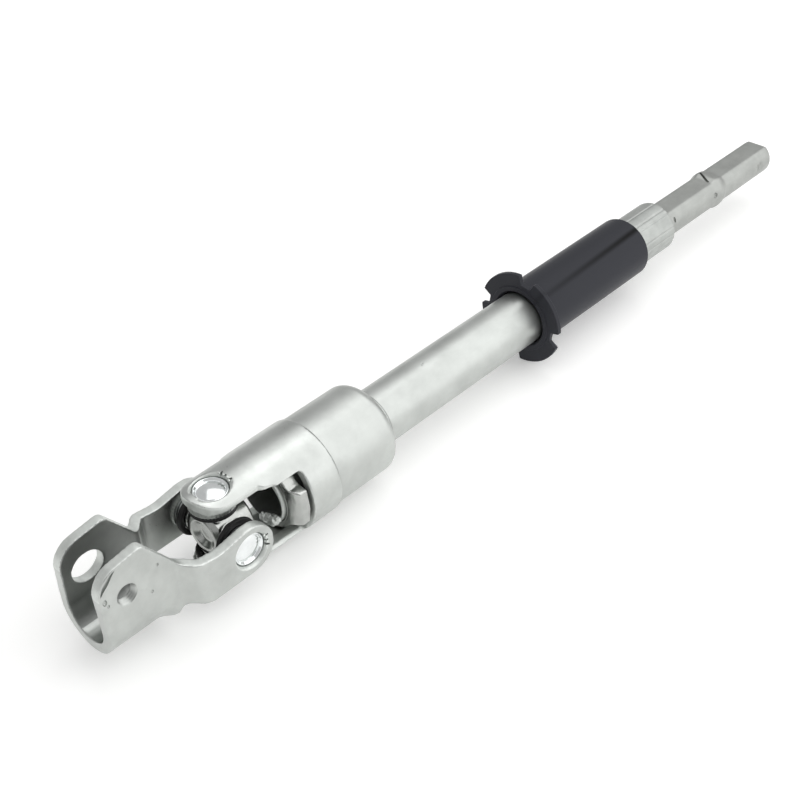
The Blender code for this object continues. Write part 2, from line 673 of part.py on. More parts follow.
def make_stop_plate():
    """The plate staked on the tube's end, whose two lugs stand in the yoke's side cuts."""
    ring = TUBE_SEAT_RADIUS + STOP_PLATE_RING
    root = math.asin(STOP_LUG_HALF_WIDTH / ring)
    shoulder = math.atan2(STOP_LUG_HALF_WIDTH, STOP_LUG_SHOULDER)
    shoulder_radius = math.hypot(STOP_LUG_HALF_WIDTH, STOP_LUG_SHOULDER)
    rim = math.asin(STOP_LUG_RIM_HALF / STOP_LUG_RADIUS)
    back = STOP_PLATE_START_X + STOP_PLATE_THICKNESS
    outline = []
    for side in (0, math.pi):
        outline += arc((0, 0), shoulder_radius, side - shoulder, side - shoulder, 1)[:1]
        outline += arc((0, 0), STOP_LUG_RADIUS, side - rim, side + rim, CORNER_STEPS)
        outline += arc((0, 0), shoulder_radius, side + shoulder, side + shoulder, 1)[:1]
        outline += arc((0, 0), ring, side + root, side + math.pi - root, CORNER_STEPS * 2)
    plate = prism("stop_plate", outline, "X", STOP_PLATE_START_X, back)
    bore = turned(
        "stop_plate_bore",
        [
            (STOP_PLATE_START_X - OVERLAP, 0),
            (STOP_PLATE_START_X - OVERLAP, TUBE_SEAT_RADIUS),
            (back + OVERLAP, TUBE_SEAT_RADIUS),
            (back + OVERLAP, 0),
        ],
    )
    combine(plate, bore, "DIFFERENCE")
    edges = plate.modifiers.new("edges", "BEVEL")
    edges.width = STOP_PLATE_BEVEL
    edges.segments = 1
    edges.limit_method = "ANGLE"
    edges.angle_limit = math.radians(50)
    return plate


# Telescoping shaft

def fluted(radius, depth):
    """The tube's outline at its swaged end: pairs of grooves at equal turns."""
    points = []
    pitch = 2 * math.pi / FLUTE_PAIRS
    for i in range(FLUTE_STEPS):
        angle = 2 * math.pi * i / FLUTE_STEPS
        from_pair = abs((angle - FLUTE_TURN + pitch / 2) % pitch - pitch / 2)
        from_groove = abs(from_pair - FLUTE_SPREAD)
        dip = depth * max(0, 1 - from_groove / FLUTE_HALF_ANGLE)
        points.append(((radius - dip) * math.cos(angle), (radius - dip) * math.sin(angle)))
    return points


def make_shaft_tube():
    """The outer tube: round from the damper on, swaged on its liner at the far end."""
    swage = TUBE_END_X - SWAGE_LENGTH
    mouth = arc(
        (TUBE_END_X - TUBE_MOUTH_ROUND, TUBE_RADIUS - TUBE_MOUTH_ROUND),
        TUBE_MOUTH_ROUND,
        math.pi / 2,
        0,
        3,
    )
    stations = [(x, fluted(TUBE_RADIUS, 0)) for x in (TUBE_START_X, swage)]
    stations += [(swage + SWAGE_RUN_OUT, fluted(TUBE_RADIUS, FLUTE_DEPTH))]
    stations += [(x, fluted(radius, FLUTE_DEPTH)) for x, radius in mouth]
    tube = loft("shaft_tube", stations)
    bore = turned(
        "shaft_tube_bore",
        [
            (TUBE_START_X - OVERLAP, 0),
            (TUBE_START_X - OVERLAP, TUBE_BORE_RADIUS),
            (swage, TUBE_BORE_RADIUS),
            (swage, 0),
        ],
    )
    combine(tube, bore, "DIFFERENCE")
    outline = double_d(BAR_RADIUS + SWAGE_BORE_GROWTH, BAR_FLAT + SWAGE_BORE_GROWTH, CORNER_STEPS * 2)
    channel = prism("shaft_tube_channel", outline, "X", swage - OVERLAP, TUBE_END_X + OVERLAP)
    return combine(tube, channel, "DIFFERENCE")


def make_liner():
    """The plastic liner between the tube's swaged end and the bar."""
    outer = double_d(BAR_RADIUS + LINER_GROWTH, BAR_FLAT + LINER_GROWTH, CORNER_STEPS * 2)
    inner = double_d(BAR_RADIUS + LINER_BORE_GROWTH, BAR_FLAT + LINER_BORE_GROWTH, CORNER_STEPS * 2)
    end = TUBE_END_X - LINER_SET_BACK
    liner = prism("slide_liner", outer, "X", end - LINER_LENGTH, end)
    bore = prism("slide_liner_bore", inner, "X", end - LINER_LENGTH - OVERLAP, end + OVERLAP)
    return combine(liner, bore, "DIFFERENCE")


def make_bar():
    """The double-D bar: chamfered ends, a staked ridge that stops the tube, and a notch each side."""
    stations = []
    for x, growth in (
        (BAR_START_X, -BAR_CHAMFER),
        (BAR_START_X + BAR_CHAMFER, 0),
        (STAKE_X - STAKE_HALF_LENGTH, 0),
        (STAKE_X - STAKE_HALF_LENGTH / 3, STAKE_HEIGHT),
        (STAKE_X + STAKE_HALF_LENGTH / 3, STAKE_HEIGHT),
        (STAKE_X + STAKE_HALF_LENGTH, 0),
        (BAR_END_X - BAR_CHAMFER, 0),
        (BAR_END_X, -BAR_CHAMFER),
    ):
        stations.append((x, double_d(BAR_RADIUS + growth, BAR_FLAT + growth, CORNER_STEPS * 2)))
    bar = loft("slider_bar", stations)
    for side, name in ((1, "left"), (-1, "right")):
        centre = (NOTCH_X, side * (BAR_RADIUS + NOTCH_RADIUS - NOTCH_DEPTH))
        circle = arc(centre, NOTCH_RADIUS, 0, 2 * math.pi, SMALL_STEPS // 2)[:-1]
        combine(bar, prism("slider_bar_notch_" + name, circle, "Z", -REACH, REACH), "DIFFERENCE")
    return bar


def make_bearing_sleeve():
    """The plastic sleeve that turns on the tube, with a notched flange at its lower end."""
    start = BEARING_SLEEVE_START_X
    end = start + BEARING_SLEEVE_LENGTH
    chamfer = BEARING_SLEEVE_MOUTH / 2
    sleeve = turned(
        "bearing_sleeve",
        [
            (start, BEARING_BORE_RADIUS + BEARING_SLEEVE_MOUTH),
            (start, FLANGE_RADIUS),
            (start + FLANGE_THICKNESS, FLANGE_RADIUS),
            (start + FLANGE_THICKNESS, BEARING_SLEEVE_RADIUS),
            (end - chamfer, BEARING_SLEEVE_RADIUS),
            (end, BEARING_SLEEVE_RADIUS - chamfer),
            (end, BEARING_BORE_RADIUS + chamfer),
            (end - chamfer, BEARING_BORE_RADIUS),
            (start + BEARING_SLEEVE_MOUTH, BEARING_BORE_RADIUS),
        ],
    )
    outer = FLANGE_RADIUS + OVERLAP
    for i in range(FLANGE_NOTCHES):
        turn = FLANGE_NOTCH_TURN + 2 * math.pi * i / FLANGE_NOTCHES
        outline = [
            (FLANGE_NOTCH_FLOOR * math.cos(turn + a), FLANGE_NOTCH_FLOOR * math.sin(turn + a))
            for a in (-FLANGE_NOTCH_FLOOR_HALF, 0, FLANGE_NOTCH_FLOOR_HALF)
        ]
        outline += [
            (outer * math.cos(turn + a), outer * math.sin(turn + a))
            for a in (FLANGE_NOTCH_RIM_HALF, -FLANGE_NOTCH_RIM_HALF)
        ]
        low = start - OVERLAP
        high = start + FLANGE_THICKNESS + OVERLAP
        combine(sleeve, prism(f"bearing_sleeve_notch_{i + 1}", outline, "X", low, high), "DIFFERENCE")
    return sleeve


for item in list(bpy.data.objects):
    bpy.data.objects.remove(item, do_unlink=True)

JOINT_CENTRE = bpy.data.objects.new("joint_centre", None)
JOINT_CENTRE.location = (-BAR_END_X, 0, 0)
bpy.context.collection.objects.link(JOINT_CENTRE)

ZINC_PRESSED = make_material("zinc_plated_pressing", (0.62, 0.63, 0.62), 1.0, 0.38)
ZINC_TUBE = make_material("zinc_plated_tube", (0.66, 0.67, 0.66), 1.0, 0.34)
BRIGHT_STEEL = make_material("polished_bearing_steel", (0.78, 0.79, 0.80), 1.0, 0.14)
FORGED_STEEL = make_material("forged_steel", (0.42, 0.43, 0.43), 1.0, 0.32)
BAR_STEEL = make_material("drawn_bar_steel", (0.55, 0.56, 0.55), 1.0, 0.40)
BLACK_PLASTIC = make_material("moulded_black_plastic", (0.025, 0.026, 0.028), 0.0, 0.42)
LINER_PLASTIC = make_material("natural_acetal", (0.80, 0.79, 0.74), 0.0, 0.45)
BLACK_RUBBER = make_material("moulded_rubber", (0.015, 0.015, 0.015), 0.0, 0.62)

TRUNNIONS = (
    ("top", ("Z", 1)),
    ("bottom", ("Z", -1)),
    ("right", ("Y", -1)),
    ("left", ("Y", 1)),
)

paint(make_clamp_yoke(), ZINC_PRESSED)
paint(make_spider(), FORGED_STEEL)
for place, direction in TRUNNIONS:
    paint(make_cup("bearing_cup_" + place, direction), BRIGHT_STEEL)
    paint(make_needles("needle_set_" + place, direction), BRIGHT_STEEL)
    paint(make_pad("thrust_pad_" + place, direction), LINER_PLASTIC)
    paint(make_seal("trunnion_seal_" + place, direction), BLACK_RUBBER)
paint(make_damper_yoke(), ZINC_PRESSED)
paint(make_damper_sleeve(), ZINC_TUBE)
paint(make_damper_rubber(), BLACK_RUBBER)
paint(make_hub_sleeve(), FORGED_STEEL)
paint(make_stop_plate(), FORGED_STEEL)
paint(make_shaft_tube(), ZINC_TUBE)
paint(make_liner(), LINER_PLASTIC)
paint(make_bar(), BAR_STEEL)
paint(make_bearing_sleeve(), BLACK_PLASTIC)
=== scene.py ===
"""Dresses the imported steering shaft: fine models of its visible pieces, their finishes, and the stage.

Metres, +Z up. The pieces are drawn about the centre of the universal joint, with +X along the shaft,
and then moved to that joint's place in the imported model.
"""

from math import acos, asin, atan2, copysign, cos, degrees, pi, radians, sin, tan

import bmesh
import bpy
from mathutils import Matrix, Vector
from mathutils.bvhtree import BVHTree
from mathutils.kdtree import KDTree


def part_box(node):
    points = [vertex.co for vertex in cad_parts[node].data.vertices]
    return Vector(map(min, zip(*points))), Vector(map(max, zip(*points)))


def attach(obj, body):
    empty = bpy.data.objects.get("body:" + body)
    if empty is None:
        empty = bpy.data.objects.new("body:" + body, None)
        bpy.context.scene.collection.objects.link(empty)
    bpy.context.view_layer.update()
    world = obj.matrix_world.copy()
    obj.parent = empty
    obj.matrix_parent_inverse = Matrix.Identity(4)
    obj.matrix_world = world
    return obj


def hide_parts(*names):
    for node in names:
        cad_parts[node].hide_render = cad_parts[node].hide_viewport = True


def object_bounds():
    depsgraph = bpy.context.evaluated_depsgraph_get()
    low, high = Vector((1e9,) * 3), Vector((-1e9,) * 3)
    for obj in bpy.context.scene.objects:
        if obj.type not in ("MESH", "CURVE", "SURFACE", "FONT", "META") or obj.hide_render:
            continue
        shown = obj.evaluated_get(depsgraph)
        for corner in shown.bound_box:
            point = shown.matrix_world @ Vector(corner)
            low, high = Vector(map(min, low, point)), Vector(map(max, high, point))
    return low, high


bl_info = {
    "name": "Steering shaft looks",
    "version": (1, 0, 0),
    "blender": (4, 5, 0),
    "location": "3D View > Sidebar > Steering shaft",
    "description": "Models the visible pieces of a lower steering shaft and gives them their finishes",
    "category": "Object",
}

MM = 0.001
FULL_TURN = 2 * pi
SAME_PLACE = 0.000002  # metres: points nearer than this are one
THROUGH = 40 * MM  # further out than any piece, for tools that cut right through
TUBE_START = 24.3  # mm from the joint's centre

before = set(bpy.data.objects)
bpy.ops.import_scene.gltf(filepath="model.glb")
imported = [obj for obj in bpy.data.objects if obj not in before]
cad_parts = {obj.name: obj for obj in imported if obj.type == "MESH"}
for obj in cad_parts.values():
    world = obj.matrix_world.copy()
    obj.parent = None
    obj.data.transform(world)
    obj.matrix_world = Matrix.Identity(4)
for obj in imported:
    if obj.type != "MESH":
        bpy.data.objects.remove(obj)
CAD_BOX = [list(corner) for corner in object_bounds()]
TUBE_TO_BAR_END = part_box("slider_bar")[1].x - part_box("shaft_tube")[0].x
JOINT_CENTRE = Vector((-TUBE_TO_BAR_END - TUBE_START * MM, 0, 0))


def linear(hex_colour):
    """The linear colour of an sRGB hex value."""
    values = [int(hex_colour[i : i + 2], 16) / 255 for i in (1, 3, 5)]
    return tuple(v / 12.92 if v <= 0.04045 else ((v + 0.055) / 1.055) ** 2.4 for v in values)


def length(name, value, description):
    """A size in millimetres, kept in metres."""
    return bpy.props.FloatProperty(
        name=name, description=description, default=value * MM, min=0, unit="LENGTH", precision=5
    )


def colour(name, value, description):
    """A colour from its sRGB hex value."""
    return bpy.props.FloatVectorProperty(
        name=name, description=description, default=linear(value), min=0, max=1, subtype="COLOR", size=3
    )


class ShaftSizes(bpy.types.PropertyGroup):
    """Sizes along and round the telescoping shaft."""

    tube_radius: length("Tube radius", 13.5, "Outside radius of the shaft tube")
    tube_bore: length("Tube bore", 10.95, "Radius of the bore behind the swaged end")
    tube_start: length("Tube start", TUBE_START, "Joint centre to the tube's open end")
    tube_end: length("Tube end", 309.0, "Joint centre to the tube's swaged end")
    bar_radius: length("Bar radius", 9.7, "Radius of the bar's round sides")
    bar_flat: length("Bar flat", 8.0, "Bar axis to each flat")
    bar_start: length("Bar start", 179.5, "Joint centre to the bar's hidden end")
    bar_end: length("Bar end", 411.5, "Joint centre to the bar's far end")
    sleeve_start: length("Bearing sleeve start", 194.0, "Joint centre to the flange's face")
    sleeve_length: length("Bearing sleeve length", 86.0, "Flange face to the sleeve's far end")
    sleeve_radius: length("Bearing sleeve radius", 16.1, "Outside radius of the bearing sleeve")
    sleeve_bore: length("Bearing sleeve bore", 14.1, "Radius of its bore")
    flange_radius: length("Flange radius", 24.0, "Radius of the notched flange")
    flange_thickness: length("Flange thickness", 2.5, "Thickness of the notched flange")


class JointSizes(bpy.types.PropertyGroup):
    """Sizes of the universal joint and the damper."""

    sheet: length("Sheet", 4.8, "Thickness of the clamp yoke's sheet")
    channel_half: length("Channel half width", 15.6, "Half the width of the clamp channel")
    ear_face: length("Ear face", 22.0, "Joint centre to the clamp yoke's ear faces")
    ear_radius: length("Ear radius", 11.6, "Radius of the clamp yoke's ears")
    yoke_radius: length("Yoke radius", 22.5, "Outside radius of the damper yoke")
    yoke_bore: length("Yoke bore", 18.2, "Inside radius of the damper yoke")
    damper_radius: length("Damper radius", 21.5, "Outside radius of the damper sleeve")
    cup_radius: length("Cup radius", 7.5, "Outside radius of the bearing cups")
    cup_face: length("Cup face", 20.3, "Joint centre to each cup's outer face")
    seat_radius: length("Seat radius", 7.8, "Radius of the bores that the cups sit in")


class FinishColours(bpy.types.PropertyGroup):
    """Base colours of the finishes."""

    zinc: colour("Zinc", "#bcbfbc", "Bright zinc plating on pressed steel")
    zinc_tube: colour("Tube zinc", "#bec1be", "Bright zinc plating on drawn tube")
    bar: colour("Bar", "#a7a9a6", "Zinc plating on the drawn bar")
    forging: colour("Forging", "#b3b5b2", "Plated forging")
    bearing: colour("Bearing steel", "#ecefef", "Polished bearing steel")
    plastic: colour("Black plastic", "#35363b", "Moulded black plastic")
    liner: colour("Liner", "#e2ddcc", "Natural acetal")
    rubber: colour("Rubber", "#101010", "Moulded rubber")
    floor: colour("Floor", "#f4f4f3", "Painted studio floor")


# Drawing


def deselect_everything():
    if bpy.context.object and bpy.context.object.mode != "OBJECT":
        bpy.ops.object.mode_set(mode="OBJECT")
    bpy.ops.object.select_all(action="DESELECT")


def pick(piece):
    """Makes a piece the only one selected, in object mode."""
    deselect_everything()
    piece.select_set(True)
    bpy.context.view_layer.objects.active = piece


def along(axis, distance, u, v):
    """A point at a distance along an axis, with u and v on the two axes that follow it."""
    return Vector({"X": (distance, u, v), "Y": (v, distance, u), "Z": (u, v, distance)}[axis])


def in_mm(points):
    """Points or corners that are given in millimetres."""
    return [tuple(value * MM for value in point) for point in points]


def polar(radius, angle):
    return radius * cos(angle), radius * sin(angle)


def arc(centre, radius, start, end, steps):
    """Points along a circle in a plane, from one angle to another."""
    turn = (end - start) / steps
    points = (polar(radius, start + turn * i) for i in range(steps + 1))
    return [(centre[0] + u, centre[1] + v) for u, v in points]


def circle(centre, radius, steps):
    return arc(centre, radius, 0, FULL_TURN, steps)[:-1]


def rounded(corners, steps=6):
    """An outline through corners of (u, v) or (u, v, radius), each rounded by its own radius."""
    points = []
    for i, corner in enumerate(corners):
        radius = corner[2] if len(corner) > 2 else 0
        if radius == 0:
            points.append(tuple(corner[:2]))
            continue
        here = Vector(corner[:2])
        back = (Vector(corners[i - 1][:2]) - here).normalized()
        ahead = (Vector(corners[(i + 1) % len(corners)][:2]) - here).normalized()
        half = back.angle(ahead) / 2
        centre = here + (back + ahead).normalized() * (radius / sin(half))
        first = here + back * (radius / tan(half)) - centre
        last = here + ahead * (radius / tan(half)) - centre
        start = atan2(first.y, first.x)
        sweep = atan2(first.x * last.y - first.y * last.x, first.dot(last))
        points += arc(centre, radius, start, start + sweep, steps)
    return points


def merge_doubles():
    bpy.ops.mesh.select_all(action="SELECT")
    bpy.ops.mesh.remove_doubles(threshold=SAME_PLACE)


def draw(name, points, closed=True):
    """Draws a chain of edges in a new mesh, by extruding one vertex from point to point."""
    deselect_everything()
    bpy.ops.mesh.primitive_plane_add(size=MM)
    piece = bpy.context.object
    piece.name = name
    piece.data.name = name
    bpy.ops.object.mode_set(mode="EDIT")
    bpy.ops.mesh.select_all(action="SELECT")
    bpy.ops.mesh.merge(type="CENTER")
    bpy.ops.transform.translate(value=points[0])
    ahead = points[1:] + points[:1] if closed else points[1:]
    for near, far in zip(points, ahead):
        bpy.ops.mesh.extrude_region_move(TRANSFORM_OT_translate={"value": far - near})
    merge_doubles()
    bpy.ops.mesh.select_all(action="SELECT")
    return piece


def close_up(piece):
    """Merges doubles and points the faces outwards."""
    merge_doubles()
    bpy.ops.mesh.normals_make_consistent(inside=False)
    bpy.ops.object.mode_set(mode="OBJECT")
    return piece


def turned(name, corners, axis="X", steps=96, round_steps=6):
    """A turned piece: corners of (place along the axis, radius, rounding), spun all the way round.

    A section that starts and ends on the axis gives a solid, and one that stays off it gives a ring.
    """
    points = [along(axis, place, radius, 0) for place, radius in rounded(corners, round_steps)]
    solid = min(corner[1] for corner in corners) < SAME_PLACE
    piece = draw(name, points, closed=not solid)
    bpy.ops.mesh.spin(steps=steps, angle=FULL_TURN, center=(0, 0, 0), axis=along(axis, 1, 0, 0))
    return close_up(piece)


def prism(name, outline, axis, low, high):
    """A drawn outline of (u, v), filled and extruded along an axis."""
    piece = draw(name, [along(axis, low, u, v) for u, v in outline])
    bpy.ops.mesh.edge_face_add()
    bpy.ops.mesh.extrude_region_move(TRANSFORM_OT_translate={"value": along(axis, high - low, 0, 0)})
    return close_up(piece)


def loft(name, rings):
    """Extrudes a filled ring from station to station, placing its points at each one."""
    piece = draw(name, rings[0])
    bpy.ops.mesh.edge_face_add()
    for last, ring in zip(rings, rings[1:]):
        bpy.ops.mesh.extrude_region_move(TRANSFORM_OT_translate={"value": (0, 0, 0)})
        order = KDTree(len(last))
        for i, point in enumerate(last):
            order.insert(point, i)
        order.balance()
        mesh = bmesh.from_edit_mesh(piece.data)
        for vertex in [v for v in mesh.verts if v.select]:
            vertex.co = ring[order.find(vertex.co)[1]]
        bmesh.update_edit_mesh(piece.data)
    return close_up(piece)


def run_modifier(piece, kind, **settings):
    """Adds a modifier and applies it."""
    pick(piece)
    modifier = piece.modifiers.new(kind.lower(), kind)
    for name, value in settings.items():
        setattr(modifier, name, value)
    bpy.ops.object.modifier_apply(modifier=modifier.name)
    return piece


def cut(piece, tool, finish=None, operation="DIFFERENCE"):
    """Cuts a piece with a tool, or joins the tool to it, and removes the tool.

    A finish is the material that the new faces take.
    """
    before = len(piece.data.polygons)
    mode = "INDEX"
    if finish:
        tool.data.materials.append(finish)
        mode = "TRANSFER"
    run_modifier(piece, "BOOLEAN", operation=operation, solver="EXACT", object=tool, material_mode=mode)
    bpy.data.objects.remove(tool, do_unlink=True)
    if operation != "INTERSECT" and len(piece.data.polygons) < before / 2:
        raise RuntimeError("The cut took most of " + piece.name + " away")
    return piece


def roll_edges(piece, passes, voxel=0.4 * MM):
    """Rounds every edge softly, as plating and tumbling leave pressed steel.

    The bevel tool can't follow the short edges that cross at the stakes and corners, so the piece is
    remeshed finely and relaxed. Each new face keeps the finish of the nearest old one.
    """
    mesh = piece.data
    before = BVHTree.FromPolygons([v.co for v in mesh.vertices], [f.vertices for f in mesh.polygons])
    finishes = [face.material_index for face in mesh.polygons]
    run_modifier(piece, "REMESH", mode="VOXEL", voxel_size=voxel, use_smooth_shade=True)
    run_modifier(piece, "SMOOTH", factor=0.5, iterations=passes)
    for face in piece.data.polygons:
        face.material_index = finishes[before.find_nearest(face.center)[2]]
    return piece


def soften(piece, width, segments, angle):
    """Rounds the sharp edges, and shades the rest smooth."""
    mesh = bmesh.new()
    mesh.from_mesh(piece.data)
    weight = mesh.edges.layers.float.new("bevel_weight_edge")
    for edge in mesh.edges:
        if len(edge.link_faces) == 2 and edge.calc_face_angle() > radians(angle):
            edge[weight] = 1
    mesh.to_mesh(piece.data)
    mesh.free()
    run_modifier(
        piece, "BEVEL", width=width, segments=segments, limit_method="WEIGHT", use_clamp_overlap=False
    )
    return smooth(piece)


def smooth(piece, angle=32):
    """Shades a piece smooth across edges of less than an angle in degrees."""
    pick(piece)
    bpy.ops.object.shade_smooth_by_angle(angle=radians(angle))
    return run_modifier(piece, "WEIGHTED_NORMAL", keep_sharp=True)


def copy_of(piece, name):
    """A copy with its own mesh."""
    pick(piece)
    bpy.ops.object.duplicate()
    copy = bpy.context.object
    copy.name = name
    copy.data.name = name
    return copy


def joined(pieces):
    """Joins pieces into the first of them."""
    deselect_everything()
    for piece in pieces:
        piece.select_set(True)
    bpy.context.view_layer.objects.active = pieces[0]
    bpy.ops.object.join()
    return pieces[0]


def keep_place(piece):
    """Keeps a piece's place, turn and scale in its mesh."""
    pick(piece)
    bpy.ops.object.transform_apply(location=True, rotation=True, scale=True)
    return piece


def swung(piece, matrix):
    """Turns a piece about the joint's centre."""
    pick(piece)
    piece.matrix_world = matrix @ piece.matrix_world
    return keep_place(piece)


def settle(piece, body, slot, material, *stands_for):
    """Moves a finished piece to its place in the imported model, and says what it rides on."""
    piece.location = JOINT_CENTRE
    keep_place(piece)
    if not piece.data.materials:
        piece.data.materials.append(material)
    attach(piece, body)
    if stands_for:
        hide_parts(*stands_for)
    return piece


# Finishes

# Steel finishes by name: colour, how much brighter than that, roughness, and in millimetres the size
# of the faint clouds that the bath leaves and of the marks of rolling or drawing. The last two values
# are how many times longer these marks are along X, and their depth in millimetres.
STEELS = {
    # Hot-rolled sheet, pressed and bright zinc plated: pale, satin, with a faint rolled texture
    "zinc_plated_pressing": ("zinc", 1, 0.31, 9, 0.7, 1.5, 0.012),
    # Sheared and pierced edges of the sheet: zinc over torn steel, so paler and rougher
    "zinc_plated_sheared_edge": ("zinc", 1.35, 0.52, 3, 0.5, 1, 0.02),
    # The inside of the channel's walls: the same zinc, darker, as painted shade within the channel
    "zinc_plated_recess": ("zinc", 0.6, 0.42, 9, 0.7, 1.5, 0.012),
    # Drawn steel tube, bright zinc plated: smoother, with fine lines along the draw
    "zinc_plated_tube": ("zinc_tube", 1, 0.40, 14, 0.6, 4, 0.0015),
    # The tube's end after swaging: the dies leave it duller and evenly rough
    "zinc_plated_swaged_tube": ("zinc_tube", 0.84, 0.50, 6, 0.6, 8, 0.01),
    # Cold-drawn double-D bar: darker, with clear die lines along it
    "zinc_plated_bar": ("bar", 1, 0.44, 8, 0.6, 12, 0.010),
    # Coined forging, plated: smooth and shiny, darker than the sheet
    "plated_forging": ("forging", 1, 0.21, 5, 0.9, 1, 0.003),
    # Deep-drawn and hardened cup steel: nearly a mirror, with faint rubbing marks
    "polished_bearing_steel": ("bearing", 1, 0.12, 6, 0.9, 1, 0.002),
}

# Plain mouldings by name: colour, roughness and the size of the grain in millimetres.
MOULDINGS = {
    # Nitrile rubber from a mould: deep black with a dull sheen
    "nitrile_rubber": ("rubber", 0.55, 0.4),
    # Unfilled acetal: waxy and off-white
    "natural_acetal": ("liner", 0.42, 0.5),
    # A white acrylic table lit faintly from below, matt from fine blasting
    "lit_acrylic_table": ("floor", 0.85, 0.8),
}


def add_node(tree, kind, inputs, output, into=None, **settings):
    """Adds a shader node with its settings, and the values or links of its inputs.

    Gives one of its outputs, which is linked into a socket where one is named.
    """
    made = tree.nodes.new("ShaderNode" + kind)
    for name, value in settings.items():
        setattr(made, name, value)
    for name, value in inputs.items():
        if isinstance(value, bpy.types.NodeSocket):
            tree.links.new(value, made.inputs[name])
        else:
            made.inputs[name].default_value = value
    if into is not None:
        tree.links.new(made.outputs[output], into)
    return made.outputs[output]


def new_material(name, base, metallic, roughness, **sockets):
    """A material with its constants set on the shader's own sockets, its nodes and its shader.

    One that is there already is given alone.
    """
    material = bpy.data.materials.get(name)
    if material:
        return material, None, None
    material = bpy.data.materials.new(name)
    material.use_nodes = True
    shader = material.node_tree.nodes["Principled BSDF"]
    shader.inputs["Base Color"].default_value = (*base, 1)
    shader.inputs["Metallic"].default_value = metallic
    shader.inputs["Roughness"].default_value = roughness
    for socket, value in sockets.items():
        shader.inputs[socket.replace("_", " ")].default_value = value
    return material, material.node_tree, shader


def shade(value, factor):
    """A colour made brighter or darker, with its alpha."""
    return (*(min(1, v * factor) for v in value), 1)


def steel(name):
    """Plated or polished steel: a soft metal sheen that follows the steel's own surface under it."""
    source, brightness, roughness, clouds, grain, stretch, depth = STEELS[name]
    base = shade(getattr(bpy.context.scene.steering_finish, source), brightness)[:3]
    material, tree, shader = new_material(name, base, 1.0, roughness)
    if tree is None:
        return material
    place = add_node(tree, "TexCoord", {}, "Object")
    bath = {"Vector": place, "Scale": 1 / (clouds * MM), "Detail": 3.0, "Roughness": 0.55}
    thickness = add_node(tree, "TexNoise", bath, "Fac")
    tint = add_node(tree, "ValToRGB", {"Fac": thickness}, "Color", shader.inputs["Base Color"])
    thick, thin = tint.node.color_ramp.elements
    thick.position, thick.color = 0.3, shade(base, 0.90)
    thin.position, thin.color = 0.7, shade(base, 1.06)
    drawn = add_node(tree, "Mapping", {"Vector": place, "Scale": (1 / stretch, 1, 1)}, "Vector")
    rolling = {"Vector": drawn, "Scale": 1 / (grain * MM), "Detail": 4.0, "Roughness": 0.6}
    marks = add_node(tree, "TexNoise", rolling, "Fac")
    sheen = {"Value": marks, "From Min": 0.25, "From Max": 0.75}
    sheen |= {"To Min": roughness - 0.05, "To Max": roughness + 0.07}
    add_node(tree, "MapRange", sheen, "Result", shader.inputs["Roughness"])
    relief = {"Height": marks, "Strength": 1.0, "Distance": depth * MM}
    add_node(tree, "Bump", relief, "Normal", shader.inputs["Normal"])
    return material


def moulded_plastic():
    """Glass-filled nylon from a steel mould: black, satin, with faint flow lines along the sleeve.

    A darker band runs along it, stronger towards the far end: a painted dark stripe in its reflection.
    """
    black = bpy.context.scene.steering_finish.plastic
    material, tree, shader = new_material("moulded_nylon", black, 0.0, 0.36, Specular_IOR_Level=0.09)
    if tree is None:
        return material
    place = add_node(tree, "TexCoord", {}, "Object")
    # A painted dark stripe in the sheen: a slab across the sleeve where the base colour goes nearly black
    painted_stripe_normal, painted_stripe_offset, half_width = (0.028, -0.866, -0.5), 4.1 * MM, 2.6 * MM
    across = add_node(tree, "VectorMath", {0: place, 1: painted_stripe_normal}, "Value", operation="DOT_PRODUCT")
    from_painted_stripe = add_node(tree, "Math", {0: across, 1: painted_stripe_offset}, "Value", operation="ADD")
    apart = add_node(tree, "Math", {0: from_painted_stripe}, "Value", operation="ABSOLUTE")
    fade = {"Value": apart, "From Min": 0, "From Max": half_width, "To Min": 1, "To Max": 0}
    band = add_node(tree, "MapRange", fade, "Result", interpolation_type="SMOOTHSTEP")
    lengthways = add_node(tree, "SeparateXYZ", {"Vector": place}, "X")
    growth = {"Value": lengthways, "From Min": -214 * MM, "From Max": -140 * MM, "To Min": 0.25}
    strength = add_node(tree, "MapRange", growth, "Result")
    depth = add_node(tree, "Math", {0: band, 1: strength}, "Value", operation="MULTIPLY")
    painted_stripe_tint = add_node(tree, "ValToRGB", {"Fac": depth}, "Color", shader.inputs["Base Color"])
    plain_black, painted_dark_stripe = painted_stripe_tint.node.color_ramp.elements
    plain_black.color, painted_dark_stripe.color = shade(black, 1.0), shade(black, 0.05)
    flow = add_node(tree, "Mapping", {"Vector": place, "Scale": (0.04, 1, 1)}, "Vector")
    lines = add_node(tree, "TexNoise", {"Vector": flow, "Scale": 1 / (1.6 * MM), "Detail": 2.0}, "Fac")
    skin = add_node(tree, "TexNoise", {"Vector": place, "Scale": 1 / (0.5 * MM), "Detail": 3.0}, "Fac")
    height = add_node(tree, "Math", {0: lines, 1: skin}, "Value", operation="ADD")
    relief = {"Height": height, "Strength": 1.0, "Distance": 0.02 * MM}
    add_node(tree, "Bump", relief, "Normal", shader.inputs["Normal"])
    satin = {"Value": skin, "From Min": 0.3, "From Max": 0.7, "To Min": 0.31, "To Max": 0.42}
    add_node(tree, "MapRange", satin, "Result", shader.inputs["Roughness"])
    return material


def plain_moulding(name):
    """A small moulding: even colour, with a fine grain that breaks up its sheen."""
    source, roughness, grain = MOULDINGS[name]
    base = getattr(bpy.context.scene.steering_finish, source)
    material, tree, shader = new_material(name, base, 0.0, roughness)
    if tree is None:
        return material
    place = add_node(tree, "TexCoord", {}, "Object")
    skin = add_node(tree, "TexNoise", {"Vector": place, "Scale": 1 / (grain * MM), "Detail": 3.0}, "Fac")
    relief = {"Height": skin, "Strength": 1.0, "Distance": grain * MM / 30}
    add_node(tree, "Bump", relief, "Normal", shader.inputs["Normal"])
    return material


# Pressed yokes


